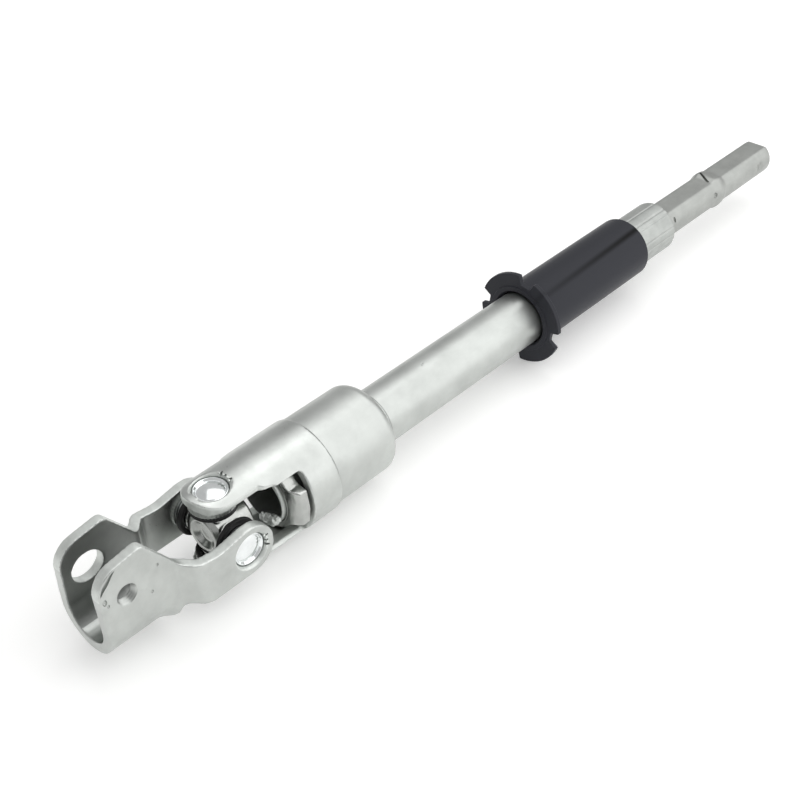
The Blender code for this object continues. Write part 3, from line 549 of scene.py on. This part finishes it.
def pebble(place, radius, squash=(1, 1, 1)):
    """A small rounded tool, for a punched pit or a raised lump."""
    deselect_everything()
    bpy.ops.mesh.primitive_ico_sphere_add(subdivisions=3, radius=radius)
    bpy.ops.transform.resize(value=squash)
    tool = bpy.context.object
    tool.location = place
    return keep_place(tool)


def bore_ears(yoke, axis, face, seat, edge):
    """Cuts the bores for two cups, with a funnel at each that guides its cup in."""
    cut(yoke, prism("ear_bores", circle((0, 0), seat, 64), axis, -THROUGH, THROUGH), edge)
    for side in (-1, 1):
        inside, outside = side * (face - 1.1 * MM), side * (face + 0.5 * MM)
        section = [(inside, 0), (inside, seat - 0.05 * MM), (outside, seat + 1.4 * MM), (outside, 0)]
        cut(yoke, turned("lead_in", section, axis, 64), edge)


def stake(piece, axis, side, face, seat, turn):
    """A cup's lock: chisel cuts out from the bore. Gives the lumps of metal pushed in between them."""
    chisels, lumps = [], []
    for swing, reach, half in ((-0.34, 1.7, 0.75), (0.3, 1.6, 0.7), (0.0, 0.9, 0.9)):
        across, down = polar(1, turn + swing)
        slot = [(seat - 0.5 * MM, -half * MM), (seat + reach * MM, -0.4 * half * MM)]
        slot += [(u, -v) for u, v in reversed(slot)]
        outline = [(u * across - v * down, u * down + v * across) for u, v in slot]
        chisels.append(prism("chisel", outline, axis, side * (face - 1.6 * MM), side * (face + 4 * MM)))
    for swing, at, size in ((-0.15, 0.3, 0.75), (0.13, 0.2, 0.65), (-0.42, 0.1, 0.6), (0.4, 0.1, 0.5)):
        place = along(axis, side * (face - 0.4 * MM), *polar(seat + at * MM, turn + swing))
        lumps.append(pebble(place, size * MM, along(axis, 0.8, 1, 1)))
    cut(piece, joined(chisels))
    return lumps


def lock_cups(yoke, body, name, axis, face, seat, turn, edge):
    """Stakes both cups of a yoke, and makes one piece of the lumps that this pushes up."""
    lumps = []
    for side in (-1, 1):
        lumps += stake(yoke, axis, side, face, seat, turn)
    smooth(yoke, 40)
    settle(smooth(joined(lumps)), body, "zinc_pressing", edge).name = name


def add_collars(sides, body, axis, inner, outer, low, high, pressing):
    """The lips that piercing and plunging the bores leave, with the tool's 44 fine flutes round them."""
    flutes = (0.0, 0.12, 0.2, 0.12) * 44
    outline = [polar(outer - deep * MM, FULL_TURN * i / len(flutes)) for i, deep in enumerate(flutes)]
    for name, side in sides.items():
        collar = prism(name, outline, axis, side * low, side * high)
        bore = circle((0, 0), inner, 64)
        cut(collar, prism("collar_bore", bore, axis, side * (low - MM), side * (high + MM)))
        settle(smooth(collar, 40), body, "zinc_pressing", pressing)


def blend_between(value, low, high):
    """How far a value has come from low to high, from 0 to 1, with soft ends."""
    t = min(1, max(0, (value - low) / (high - low)))
    return t * t * (3 - 2 * t)


def bend_plan(joint, start, corner_start, jog_start, jog_end, bend):
    """Pairs of outer and inner (x, half width) along one side of the pressed sheet, from above."""
    half, face, sheet = joint.channel_half, joint.ear_face, joint.sheet
    slope = atan2(face - half, jog_end - jog_start)
    reach = tan(slope / 2)
    near = (jog_start - bend * reach, half + bend)
    far = (jog_end + (bend + sheet) * reach, face - bend - sheet)
    straight = [start] + [corner_start + (near[0] - corner_start) * i / 8 for i in range(8)]
    pairs = [((x, half), (x, half - sheet)) for x in straight]
    for centre, radii, first, last in (
        (near, (bend, bend + sheet), -pi / 2, slope - pi / 2),
        (far, (bend + sheet, bend), slope + pi / 2, pi / 2),
    ):
        pairs += zip(*(arc(centre, radius, first, last, 8) for radius in radii))
    end = joint.ear_radius + MM
    return pairs + [((end, face), (end, face - sheet))]


def channel_side(x, half, corner, axis_z, top, lean, side):
    """One side of the channel's section at x, from the top edge down to the middle of the web.

    The wall leans inwards towards its top, as the sheet springs when it is pressed.
    """
    foot = axis_z - half + corner
    points = [(half, top + (foot - top) * i / 8) for i in range(8)]
    points += arc((half - corner, foot), corner, 0, -pi / 2, 20)
    rise = [max(0, (z - axis_z) / (top - axis_z)) for y, z in points]
    return [Vector((x, side * (y - lean * r**1.5), z)) for (y, z), r in zip(points, rise)]


class MakeClampYoke(bpy.types.Operator):
    """Model the pressed clamp yoke, with its bolt holes, plunged bores and stakes"""

    bl_idname = "steering.clamp_yoke"
    bl_label = "Clamp yoke"

    def press_sheet(self, joint, start, axis_z):
        """Lofts the sheet from a round channel at its start to two joggled ears."""
        corner_start, jog_start, jog_end = -42 * MM, -31.5 * MM, -25.3 * MM
        bend, top = 1.4 * MM, 31.2 * MM
        rings = []
        plan = bend_plan(joint, start, corner_start, jog_start, jog_end, bend)
        for (outer_x, outer_half), (inner_x, inner_half) in plan:
            squareness = blend_between(outer_x, corner_start, jog_start)
            square = joint.sheet + bend
            corner = joint.channel_half + (square - joint.channel_half) * squareness - 0.01 * MM
            lean = 1 - blend_between(outer_x, jog_start - 6 * MM, jog_end)
            walls = []
            for side, most in ((1, 2.4 * MM), (-1, 1.6 * MM)):
                shape = (axis_z, top, most * lean, side)
                walls.append(channel_side(outer_x, outer_half, corner, *shape))
                walls.append(channel_side(inner_x, inner_half, corner - joint.sheet, *shape))
            left, left_core, right, right_core = walls
            rings.append(left + right[::-1] + right_core + left_core[::-1])
        return loft("clamp_yoke_pressing", rings)

    def side_view(self, joint, start, axis_z):
        """The blank's outline from the side, as (z, x)."""
        waist = Vector((-15, 9.1)) * MM
        tangent = atan2(waist.y, waist.x) - acos(joint.ear_radius / waist.length)
        bottom = axis_z - joint.channel_half - MM
        blank = [(start, 26.8 * MM, 11 * MM)] + in_mm([(-43.5, 30.2, 3.6), (-30, 11.4, 5)])
        blank += [(*waist, 14 * MM), *arc((0, 0), joint.ear_radius, tangent, -pi / 2, 40)]
        blank += [(-22 * MM, -joint.ear_radius, 5 * MM), (-30.5 * MM, -8.8 * MM, 5 * MM)]
        blank += [(-36.5 * MM, bottom), (start, bottom)]
        return [(z, x) for x, z in rounded(blank, 10)]

    def mark_near_wall(self, yoke, joint):
        """Punches the pits in the near wall, and gouges it beside the threaded hole."""

        def on_wall(x, z):
            return yoke.closest_point_on_mesh((x * MM, -joint.channel_half - MM, z * MM))[1]

        pits = ((-63.5, 16.4, 1.2), (-62.4, 13.9, 0.7), (-38.9, 17.7, 0.7), (-43.6, 7.2, 0.7))
        cut(yoke, joined([pebble(on_wall(x, z), size * MM, (0.8, 0.9, 1.2)) for x, z, size in pits]))
        radius, width = 10.1 * MM, 2.0 * MM
        sweep = [radians(98 + 7 * i) for i in range(11)]
        crescent = [(radius, a) for a in sweep]
        crescent += [(radius - width * sin(pi * i / 10), sweep[i]) for i in range(9, 0, -1)]
        outline = [(17.35 * MM + r * sin(a), -54.8 * MM + r * cos(a)) for r, a in crescent]
        cut(yoke, prism("gouge", outline, "Y", -20 * MM, on_wall(-63, 20).y + 0.9 * MM))

    def execute(self, context):
        joint = context.scene.steering_joint
        start, axis_z = -65.8 * MM, -1.7 * MM
        pressing, edge = steel("zinc_plated_pressing"), steel("zinc_plated_sheared_edge")
        yoke = self.press_sheet(joint, start, axis_z)
        yoke.data.materials.append(pressing)
        side_view = self.side_view(joint, start, axis_z)
        cut(yoke, prism("yoke_blank", side_view, "Y", -THROUGH, THROUGH), edge, "INTERSECT")
        bore_ears(yoke, "Y", joint.ear_face, joint.seat_radius, edge)
        bolt, tapped = (11.4 * MM, -54 * MM), (13.3 * MM, -53.9 * MM)
        cut(yoke, prism("bolt_hole", circle(bolt, 7.2 * MM, 64), "Y", 0, THROUGH), edge)
        cut(yoke, prism("tap_drill", circle(tapped, 4.2 * MM, 48), "Y", -THROUGH, 0))
        roll_edges(yoke, 10)
        self.mark_near_wall(yoke, joint)
        thread, pitch = [(-24 * MM, 0)], 1.25
        for i in range(12):
            thread += [((-24 + pitch * i) * MM, 4.3 * MM), ((-23.4 + pitch * i) * MM, 5.0 * MM)]
        tap = turned("thread_tap", thread + [(thread[-1][0], 0)], "Y", 48)
        tap.location = (tapped[1], 0, tapped[0])
        cut(yoke, tap)
        # The inward faces of the channel's walls take the darker zinc: painted shade inside the channel
        yoke.data.materials.append(steel("zinc_plated_recess"))
        for face in yoke.data.polygons:
            x, y, z = face.center
            if x < -29 * MM and z > -11 * MM and face.normal.y * copysign(1, y) < -0.5:
                face.material_index = len(yoke.data.materials) - 1
        seat, turn = joint.seat_radius, pi / 2 - 0.05
        lock_cups(yoke, "clamp", "clamp_stakes", "Y", joint.ear_face, seat, turn, edge)
        settle(yoke, "clamp", "zinc_pressing", pressing, "clamp_yoke")
        sides = {"clamp_collar_right": -1, "clamp_collar_left": 1}
        inner_face = joint.ear_face - joint.sheet
        add_collars(sides, "clamp", "Y", seat, 9.3 * MM, 16.2 * MM, inner_face, pressing)
        return {"FINISHED"}


class MakeDamperYoke(bpy.types.Operator):
    """Model the tubular damper yoke, with its ears, side cuts and plunged bores"""

    bl_idname = "steering.damper_yoke"
    bl_label = "Damper yoke"

    def execute(self, context):
        joint = context.scene.steering_joint
        pressing, edge = steel("zinc_plated_pressing"), steel("zinc_plated_sheared_edge")
        tip, end = 11.9 * MM, 50 * MM
        start = -tip - MM
        bore, radius, seat = joint.yoke_bore, joint.yoke_radius, joint.seat_radius
        section = [(start, bore), (end, bore), (end, radius), (start, radius)]
        yoke = turned("damper_yoke_tube", section, "X", 192)
        yoke.data.materials.append(pressing)
        half, depth = 16.4 * MM, 34.4 * MM
        side_cut = [(start - MM, half), (start - MM, -half), (depth, -half, 2 * MM), (depth, half, 2 * MM)]
        side_cut = [(z, x) for x, z in rounded(side_cut)]
        cut(yoke, prism("side_cut", side_cut, "Y", -THROUGH, THROUGH), edge)
        ears = [(0, tip), (13.2 * MM, tip, 3 * MM)]
        ears += in_mm([(14.1, 11.6, 0.5), (16.4, 13.5, 1.5), (19.1, 14.1, 2), (22, 15.6, 2), (25, 23.5)])
        ears.append((end + MM, 23.5 * MM))
        ears += [(x, -y, *round_off) for x, y, *round_off in reversed(ears)]
        plan = rounded(ears) + arc((0, 0), tip, -pi / 2, -1.5 * pi, 48)[1:-1]
        cut(yoke, prism("ear_plan", plan, "Z", -THROUGH, THROUGH), edge, "INTERSECT")
        bore_ears(yoke, "Z", radius - 0.7 * MM, seat, edge)
        slope = [(12.3, -16.2), (12.3, -16.6), (16.5, -20.6), (20, -20), (20, -16.2)]
        for side in (-1, 1):
            outline = in_mm([(side * y, z) for y, z in slope])
            cut(yoke, prism("edge_slope", outline, "X", start, 33.6 * MM), edge)
        roll_edges(yoke, 10)
        lock_cups(yoke, "damper", "yoke_stakes", "Z", radius, seat, -0.02, edge)
        settle(yoke, "damper", "zinc_pressing", pressing, "damper_yoke")
        sides = {"yoke_collar_top": 1, "yoke_collar_bottom": -1}
        add_collars(sides, "damper", "Z", seat, 10.3 * MM, 13.5 * MM, bore, pressing)
        return {"FINISHED"}


class MakeDamper(bpy.types.Operator):
    """Model the damper: its sleeve, rubber, inner sleeve and stop plate"""

    bl_idname = "steering.damper"
    bl_label = "Damper"

    def execute(self, context):
        radius = context.scene.steering_joint.damper_radius
        shell = in_mm([(38.3, 16.3), (38.3, 17.9, 0.5), (50.3, 17.9)])
        shell += [(50.3 * MM, radius, 0.4 * MM), (86.8 * MM, radius, 5.6 * MM)]
        shell += in_mm([(86.8, 13.8, 0.5), (84.4, 13.8), (84.4, 19.1, 3.4), (52.7, 19.1), (52.7, 16.3)])
        sleeve = smooth(turned("damper_shell", shell, "X", 128, 10), 40)
        settle(sleeve, "damper", "zinc_tube", steel("zinc_plated_tube"), "damper_sleeve")
        bush = in_mm([(54.5, 15.7), (80, 15.7), (78.4, 17.25, 1.2)])
        bush += in_mm([(80, 18.8), (54.5, 18.8), (56.1, 17.25, 1.2)])
        rubber = smooth(turned("damper_bush", bush))
        settle(rubber, "damper", "black_rubber", plain_moulding("nitrile_rubber"), "damper_rubber")
        forging = steel("plated_forging")
        wall = in_mm([(53, 13.8, 0.3), (53, 15.4, 0.4), (81.5, 15.4, 0.4), (81.5, 13.8, 0.3)])
        inner = smooth(turned("damper_inner_sleeve", wall, round_steps=3), 40)
        settle(inner, "shaft", "forged_steel", forging, "hub_sleeve")
        lug = [(15.2, -9.4, 1.2), (19.6, -8.6, 0.4), (21, 0, 16), (19.6, 8.6, 0.4), (15.2, 9.4, 1.2)]
        outline, lug_angle = [], 0.66
        for side, turn in ((1, 0), (-1, pi)):
            outline += in_mm([(side * y, side * z, r) for y, z, r in lug])
            outline += arc((0, 0), 17 * MM, turn + lug_angle, turn + pi - lug_angle, 20)
        plate = prism("stop_plate_forging", rounded(outline, 8), "X", 25 * MM, 34 * MM)
        crown = in_mm([(26.0, 13.8), (26.1, 15, 3), (27.3, 18.4, 8), (29.2, 21.2)])
        crown += in_mm([(29.2, 24), (33.2, 24), (33.2, 13.8)])
        cut(plate, turned("stop_crown", crown, "X", 160), operation="INTERSECT")
        settle(roll_edges(plate, 4, 0.3 * MM), "shaft", "forged_steel", forging, "stop_plate")
        return {"FINISHED"}


# Universal joint


# Where each trunnion points, the yoke that holds it, and its quarter turns about X from the top
TRUNNIONS = (("top", "damper", 0), ("bottom", "damper", 2), ("right", "clamp", 1), ("left", "clamp", -1))


def on_each_trunnion(piece, name, slot, material, node, body=None):
    """Copies a piece that points up to the four trunnions, each with its yoke unless a body is given."""
    for place, yoke, quarters in TRUNNIONS:
        turn = Matrix.Rotation(quarters * pi / 2, 4, "X")
        copy = swung(copy_of(piece, name + "_" + place), turn)
        settle(copy, body or yoke, slot, material, node + "_" + place)
    bpy.data.objects.remove(piece, do_unlink=True)


class MakeBearings(bpy.types.Operator):
    """Model the bearing cups, needles, thrust pads and seals on the four trunnions"""

    bl_idname = "steering.bearings"
    bl_label = "Needle bearings"

    def execute(self, context):
        joint = context.scene.steering_joint
        face, radius = joint.cup_face, joint.cup_radius
        bearing = steel("polished_bearing_steel")
        cup = in_mm([(19, 0), (19, 6.25, 0.5), (12.4, 6.25, 0.2)])
        cup += [(12.4 * MM, radius, 0.4 * MM), (face, radius, 0.45 * MM)]
        rim = ((0.05, 6.9, 0.3), (0.95, 6.2, 0.1), (0.95, 6.0, 0.05))
        cup += [(face - drop * MM, r * MM, bend * MM) for drop, r, bend in rim]
        cup += [(face - 0.9 * MM * (i / 10) ** 2, 5.9 * MM * i / 10) for i in range(10, -1, -1)]
        cup = smooth(turned("cup", cup, "Z", 80), 45)
        on_each_trunnion(cup, "cup", "bearing_steel", bearing, "bearing_cup")
        pin = in_mm([(13.5, 0), (13.5, 0.6, 0.3), (18.7, 0.6, 0.3), (18.7, 0)])
        needle = smooth(turned("needle", pin, "Z", 14, 2), 40)
        ring = [swung(needle, Matrix.Translation((5.375 * MM, 0, 0)))]
        count = 27
        for i in range(1, count):
            ring.append(swung(copy_of(needle, "needle"), Matrix.Rotation(FULL_TURN * i / count, 4, "Z")))
        on_each_trunnion(joined(ring), "needles", "bearing_steel", bearing, "needle_set")
        pad = in_mm([(17.9, 0), (17.9, 3.6, 0.2), (18.7, 3.6, 0.2), (18.7, 1.2, 0.2), (18.5, 0)])
        pad = smooth(turned("pad", pad, "Z", 40, 2))
        on_each_trunnion(pad, "pad", "liner_plastic", plain_moulding("natural_acetal"), "thrust_pad")
        seal = in_mm([(11.2, 7.85, 0.2), (11.0, 9.7, 0.3), (11.6, 10.3, 0.4)])
        seal += in_mm([(12.4, 10.1, 0.2), (13.2, 10.3, 0.3), (13.2, 7.85, 0.2)])
        seal = smooth(turned("seal", seal, "Z", 72, 4), 40)
        rubber = plain_moulding("nitrile_rubber")
        on_each_trunnion(seal, "seal", "black_rubber", rubber, "trunnion_seal", "cross")
        return {"FINISHED"}


class MakeSpider(bpy.types.Operator):
    """Model the forged cross with its four ground journals"""

    bl_idname = "steering.spider"
    bl_label = "Cross"

    def execute(self, context):
        dish = in_mm([(5.0, 0), (5.0, 4.2, 2.0), (7.4, 7.0, 0.8), (7.4, 9.2, 0.9), (5.2, 11, 1.4), (0, 11)])
        dish = [(-x, r) for x, r in rounded(dish)]
        hub = rounded(in_mm([(0, 11), (5.2, 11, 1), (12.6, 9.4, 1.6), (12.6, 0)]))
        body = turned("cross", dish + hub[1:], "X", 72)
        arm = in_mm([(0, 4.2), (6.4, 4.2), (7.8, 6.4, 1), (10.4, 7.6, 0.6), (12.1, 7.6, 0.3)])
        arm += in_mm([(12.1, 4.5, 0.2), (17.6, 4.5, 0.4), (17.6, 0)])
        arm = rounded(arm, 4)[1:]
        arms = [(-place, radius) for place, radius in reversed(arm)] + arm
        for axis in ("Y", "Z"):
            cut(body, turned("arms", arms, axis, 56), operation="UNION")
        smooth(roll_edges(body, 6, 0.35 * MM), 50)
        settle(body, "cross", "forged_steel", steel("plated_forging"), "spider")
        return {"FINISHED"}


# Telescoping shaft


def double_d(sizes, growth, steps):
    """The bar's outline in Y and Z, a round with two flats across Z, grown all round."""
    radius = sizes.bar_radius + growth
    edge = asin((sizes.bar_flat + growth) / radius)
    right = arc((0, 0), radius, -edge, edge, steps)
    return right + [(-y, -z) for y, z in right]


def swaged_outline(radius, depth):
    """The tube's section where it is swaged on the bar: soft grooves, and a broad flat between some.

    Angles are in degrees and the grooves' depth in millimetres. Both halves of the tube are alike.
    """
    grooves, half_groove, groove_depth = (87, 113, 126, 160, 177, 15, -3), 4, 0.3
    flat_start, flat_end = 129, 158
    middle, half_flat = (flat_start + flat_end) / 2, radians((flat_end - flat_start) / 2)
    points = []
    for angle in (FULL_TURN * i / 360 for i in range(360)):
        turn = degrees(angle) % 180
        dip = 0
        for groove in grooves:
            if abs(turn - groove) < half_groove:
                dip = max(dip, (1 + cos(pi * (turn - groove) / half_groove)) / 2 * groove_depth * MM)
        if flat_start < turn < flat_end:
            dip += radius * (1 - cos(half_flat) / cos(radians(turn - middle)))
        points.append(polar(radius - depth * dip, angle))
    return points


class MakeTube(bpy.types.Operator):
    """Model the shaft tube with its swaged end, its stamped marks and the torn metal in its mouth"""

    bl_idname = "steering.tube"
    bl_label = "Shaft tube"

    def execute(self, context):
        sizes = context.scene.steering_shaft
        start, end, radius = sizes.tube_start, sizes.tube_end, sizes.tube_radius
        swage = end - 40 * MM
        stations = [(start, radius - 0.5 * MM, 0), (start + 0.4 * MM, radius, 0)]
        stations += [(swage, radius, 0), (swage + 3 * MM, radius, 1)]
        end_round = arc((end - 1.8 * MM, radius - 1.8 * MM), 1.8 * MM, pi / 2, 0.1, 6)
        stations += [(x, r, 1) for x, r in end_round] + [(end, radius - 2.2 * MM, 1)]
        rings = [[Vector((x, y, z)) for y, z in swaged_outline(r, depth)] for x, r, depth in stations]
        tube = loft("shaft_tube_swaged", rings)
        before = start - MM
        cut(tube, prism("tube_bore", circle((0, 0), sizes.tube_bore, 96), "X", before, swage))
        channel = double_d(sizes, 1.25 * MM, 24)
        cut(tube, prism("tube_channel", channel, "X", swage - MM, end + MM))
        drawn, edge = steel("zinc_plated_tube"), steel("zinc_plated_sheared_edge")
        tube.data.materials.append(drawn)
        cut(tube, prism("mouth", circle((0, 0), 12.4 * MM, 96), "X", before, 70 * MM))
        ring = in_mm([(89.8, 13.2), (89.8, 14), (90.2, 14), (90.2, 13.42)])
        cut(tube, turned("gauge_line", ring))
        pits = []
        for x, angle, squash in ((88.7, 140, (1.6, 1)), (121.8, 98, (0.8, 0.8)), (122.9, 96, (0.8, 0.8))):
            place = Vector((x, *polar(13.8, radians(angle)))) * MM
            pits.append(pebble(place, 0.7 * MM, (*squash, 1)))
        cut(tube, joined(pits))
        places = [(-1, -11.2, 2.2), (-4.2, -10.2, 2.9), (-7.4, -8.7, 2.6)]
        places += [(-9.8, -6.6, 1.6), (-6.2, -10.6, 2.2)]
        lumps = joined([pebble(Vector((23.9, y, z)) * MM, size * MM) for y, z, size in places])
        torn = bpy.data.textures.new("torn_metal", "CLOUDS")
        torn.noise_scale = 1.4 * MM
        run_modifier(lumps, "REMESH", mode="VOXEL", voxel_size=0.25 * MM)
        run_modifier(lumps, "DISPLACE", texture=torn, texture_coords="LOCAL", strength=1.3 * MM)
        settle(smooth(lumps, 50), "shaft", "zinc_tube", edge).name = "tube_stakes"
        tube.data.materials.append(steel("zinc_plated_swaged_tube"))
        for face in tube.data.polygons:
            if face.center.x > swage:
                face.material_index = 1
        settle(smooth(tube, 30), "shaft", "zinc_tube", drawn, "shaft_tube")
        return {"FINISHED"}


class MakeBar(bpy.types.Operator):
    """Model the double-D bar with its staked ridge and notches, and its liner"""

    bl_idname = "steering.bar"
    bl_label = "Sliding bar"

    def execute(self, context):
        sizes = context.scene.steering_shaft
        ridge = ((354.4, 0), (356.4, 0.55), (357.6, 0.95), (359.5, 1.0), (361.5, 0.7), (364, 0))
        end_round = ((1.8, 0), (0.9, -0.3), (0.3, -0.9), (0, -1.7))
        stations = [(sizes.bar_start, -1.0), (sizes.bar_start + MM, 0)]
        stations += [(x * MM, growth) for x, growth in ridge]
        stations += [(sizes.bar_end - back * MM, growth) for back, growth in end_round]
        rings = [[Vector((x, *yz)) for yz in double_d(sizes, growth * MM, 24)] for x, growth in stations]
        bar = loft("slider_bar_drawn", rings)
        for side in (-1, 1):
            notch = circle((400.5 * MM, side * (sizes.bar_radius + 1.3 * MM)), 2.2 * MM, 40)
            cut(bar, prism("bar_notch", notch, "Z", -20 * MM, 20 * MM))
        roll_edges(bar, 6, 0.45 * MM)
        slash = in_mm([(359.4, 5.0), (358.2, 5.2), (353.4, -3.0), (354.6, -3.8)])
        tools = [
            prism("stake_slash", slash, "Z", 7.2 * MM, 12 * MM),
            pebble(Vector((397.4, -10.2, 1.9)) * MM, 1.3 * MM, (0.8, 1, 3.2)),
            pebble(Vector((353.4, -9.7, 2.3)) * MM, 1.6 * MM),
            pebble(Vector((314.4, -8.8, 4.3)) * MM, 1.4 * MM, (0.7, 1, 1.3)),
        ]
        cut(bar, joined(tools))
        settle(smooth(bar, 40), "bar", "bar_steel", steel("zinc_plated_bar"), "slider_bar")
        liner = prism("slide_liner_moulding", double_d(sizes, 1.05 * MM, 20), "X", 269.6 * MM, 306.6 * MM)
        cut(liner, prism("liner_bore", double_d(sizes, 0.2 * MM, 20), "X", 260 * MM, 310 * MM))
        settle(smooth(liner), "shaft", "liner_plastic", plain_moulding("natural_acetal"), "slide_liner")
        return {"FINISHED"}


class MakeBearingSleeve(bpy.types.Operator):
    """Model the black bearing sleeve with its notched flange"""

    bl_idname = "steering.bearing_sleeve"
    bl_label = "Bearing sleeve"

    def execute(self, context):
        sizes = context.scene.steering_shaft
        start, radius, bore = sizes.sleeve_start, sizes.sleeve_radius, sizes.sleeve_bore
        flange = sizes.flange_radius
        end, face = start + sizes.sleeve_length, start + sizes.flange_thickness
        section = [(start - 0.6 * MM, 15 * MM, 0.3 * MM), (start - 0.6 * MM, 17.3 * MM, 0.3 * MM)]
        section += [(start, 17.5 * MM, 0.1 * MM), (start, flange, 0.35 * MM), (face, flange, 0.35 * MM)]
        section += [(face, radius, 0.8 * MM), (end, radius, 0.6 * MM), (end, bore, 0.4 * MM)]
        section.append((start + 0.9 * MM, bore, 0.3 * MM))
        sleeve = turned("bearing_sleeve_moulding", section, "X", 128, 5)
        root, outside, round_off = 19.4 * MM, flange + MM, 0.8 * MM
        corners = [(root, -8, round_off), (root, 8, round_off), (outside, 11.5), (outside, -11.5)]
        for i in range(4):
            middle = radians(9) + FULL_TURN * i / 4
            outline = [(*polar(r, middle + radians(a)), *rest) for r, a, *rest in corners]
            cut(sleeve, prism("flange_notch", rounded(outline), "X", start - MM, face + MM))
        soften(sleeve, 0.3 * MM, 2, 50)
        settle(sleeve, "bearing", "black_plastic", moulded_plastic(), "bearing_sleeve")
        return {"FINISHED"}


# Stage


def add_softbox(name, towards, width, height, brightness):
    """A large, even area light in a direction from the shaft, which faces it and isn't seen itself."""
    shaft_middle, distance = Vector((-0.24, 0, 0)), 1.7
    place = shaft_middle + Vector(towards).normalized() * distance
    deselect_everything()
    bpy.ops.object.light_add(type="AREA", location=place)
    lamp = bpy.context.object
    lamp.name = name
    lamp.data.shape = "RECTANGLE"
    lamp.data.size = width
    lamp.data.size_y = height
    lamp.data.energy = brightness * pi * width * height
    lamp.rotation_euler = (shaft_middle - place).to_track_quat("-Z", "Y").to_euler()
    lamp.visible_camera = False


def add_camera(scene):
    """Sets the camera where the photograph was taken from.

    focal, shown_x and shown_y are in the frame's pixels, the last two being where the aim appears.
    """
    azimuth, elevation, roll = radians(-44.91), radians(38.29), radians(-2.77)
    frame_width, sensor_width = 800, 36
    focal, shown_x, shown_y, distance = 1300, 459.88, 358.99, 612.77 * MM
    level = Vector((cos(azimuth), sin(azimuth), 0))
    away = cos(elevation)
    back = Vector((sin(azimuth) * away, -cos(azimuth) * away, sin(elevation)))
    upright = back.cross(level)
    right = cos(roll) * level + sin(roll) * upright
    up = cos(roll) * upright - sin(roll) * level
    place = JOINT_CENTRE + Vector((150 * MM, 0, 0)) + back * distance
    place -= right * ((shown_x - frame_width / 2) / focal * distance)
    place += up * ((shown_y - frame_width / 2) / focal * distance)
    deselect_everything()
    bpy.ops.object.camera_add(location=place)
    camera = bpy.context.object
    camera.name = "photo_camera"
    camera.matrix_world = Matrix.Translation(place) @ Matrix((right, up, back)).transposed().to_4x4()
    camera.data.sensor_width = sensor_width
    camera.data.lens = focal / frame_width * sensor_width
    camera.data.clip_start = 0.01
    scene.camera = camera


class MakeStage(bpy.types.Operator):
    """Set the pale floor, the soft studio light and the camera"""

    bl_idname = "steering.stage"
    bl_label = "Stage"

    def execute(self, context):
        scene = context.scene
        scene.view_settings.view_transform = "Standard"
        deselect_everything()
        bpy.ops.mesh.primitive_plane_add(size=12, location=(0, 0, CAD_BOX[0][2] - 0.3 * MM))
        floor = bpy.context.object
        floor.name = "floor"
        table = plain_moulding("lit_acrylic_table")
        glow = table.node_tree.nodes["Principled BSDF"].inputs
        glow["Emission Color"].default_value = (1, 1, 1, 1)
        glow["Emission Strength"].default_value = 0.24
        floor.data.materials.append(table)
        add_softbox("overhead_softbox", (0.45, -0.42, 0.79), 2.6, 2.4, 1.15)
        add_softbox("front_softbox", (0.55, -0.8, 0.12), 1.8, 0.7, 1.05)
        add_softbox("rear_softbox", (0.33, 0.33, 0.885), 1.1, 1.1, 0.85)
        scene.world = scene.world or bpy.data.worlds.new("studio")
        scene.world.use_nodes = True
        background = scene.world.node_tree.nodes["Background"]
        background.inputs["Color"].default_value = (1, 1, 1, 1)
        background.inputs["Strength"].default_value = 0.56
        add_camera(scene)
        return {"FINISHED"}


OPERATORS = (MakeClampYoke, MakeDamperYoke, MakeDamper, MakeBearings, MakeSpider)
OPERATORS += (MakeTube, MakeBar, MakeBearingSleeve, MakeStage)
GROUPS = {"steering_shaft": ShaftSizes, "steering_joint": JointSizes, "steering_finish": FinishColours}


class SteeringShaftPanel(bpy.types.Panel):
    """The sizes and colours, and the pieces and the stage in the order they are made"""

    bl_idname = "VIEW3D_PT_steering_shaft"
    bl_label = "Steering shaft"
    bl_space_type = "VIEW_3D"
    bl_region_type = "UI"
    bl_category = "Steering shaft"

    def draw(self, context):
        for name in GROUPS:
            group = getattr(context.scene, name)
            column = self.layout.column()
            for value in group.bl_rna.properties.keys():
                if value not in ("rna_type", "name"):
                    column.prop(group, value)
        for operator in OPERATORS:
            self.layout.operator(operator.bl_idname)


CLASSES = (*GROUPS.values(), *OPERATORS, SteeringShaftPanel)


def register():
    for kind in CLASSES:
        bpy.utils.register_class(kind)
    for name, kind in GROUPS.items():
        setattr(bpy.types.Scene, name, bpy.props.PointerProperty(type=kind))


def unregister():
    for name in GROUPS:
        delattr(bpy.types.Scene, name)
    for kind in reversed(CLASSES):
        bpy.utils.unregister_class(kind)


def main():
    register()
    for operator in OPERATORS:
        group, name = operator.bl_idname.split(".")
        getattr(getattr(bpy.ops, group), name)()


if __name__ == "__main__":
    main()
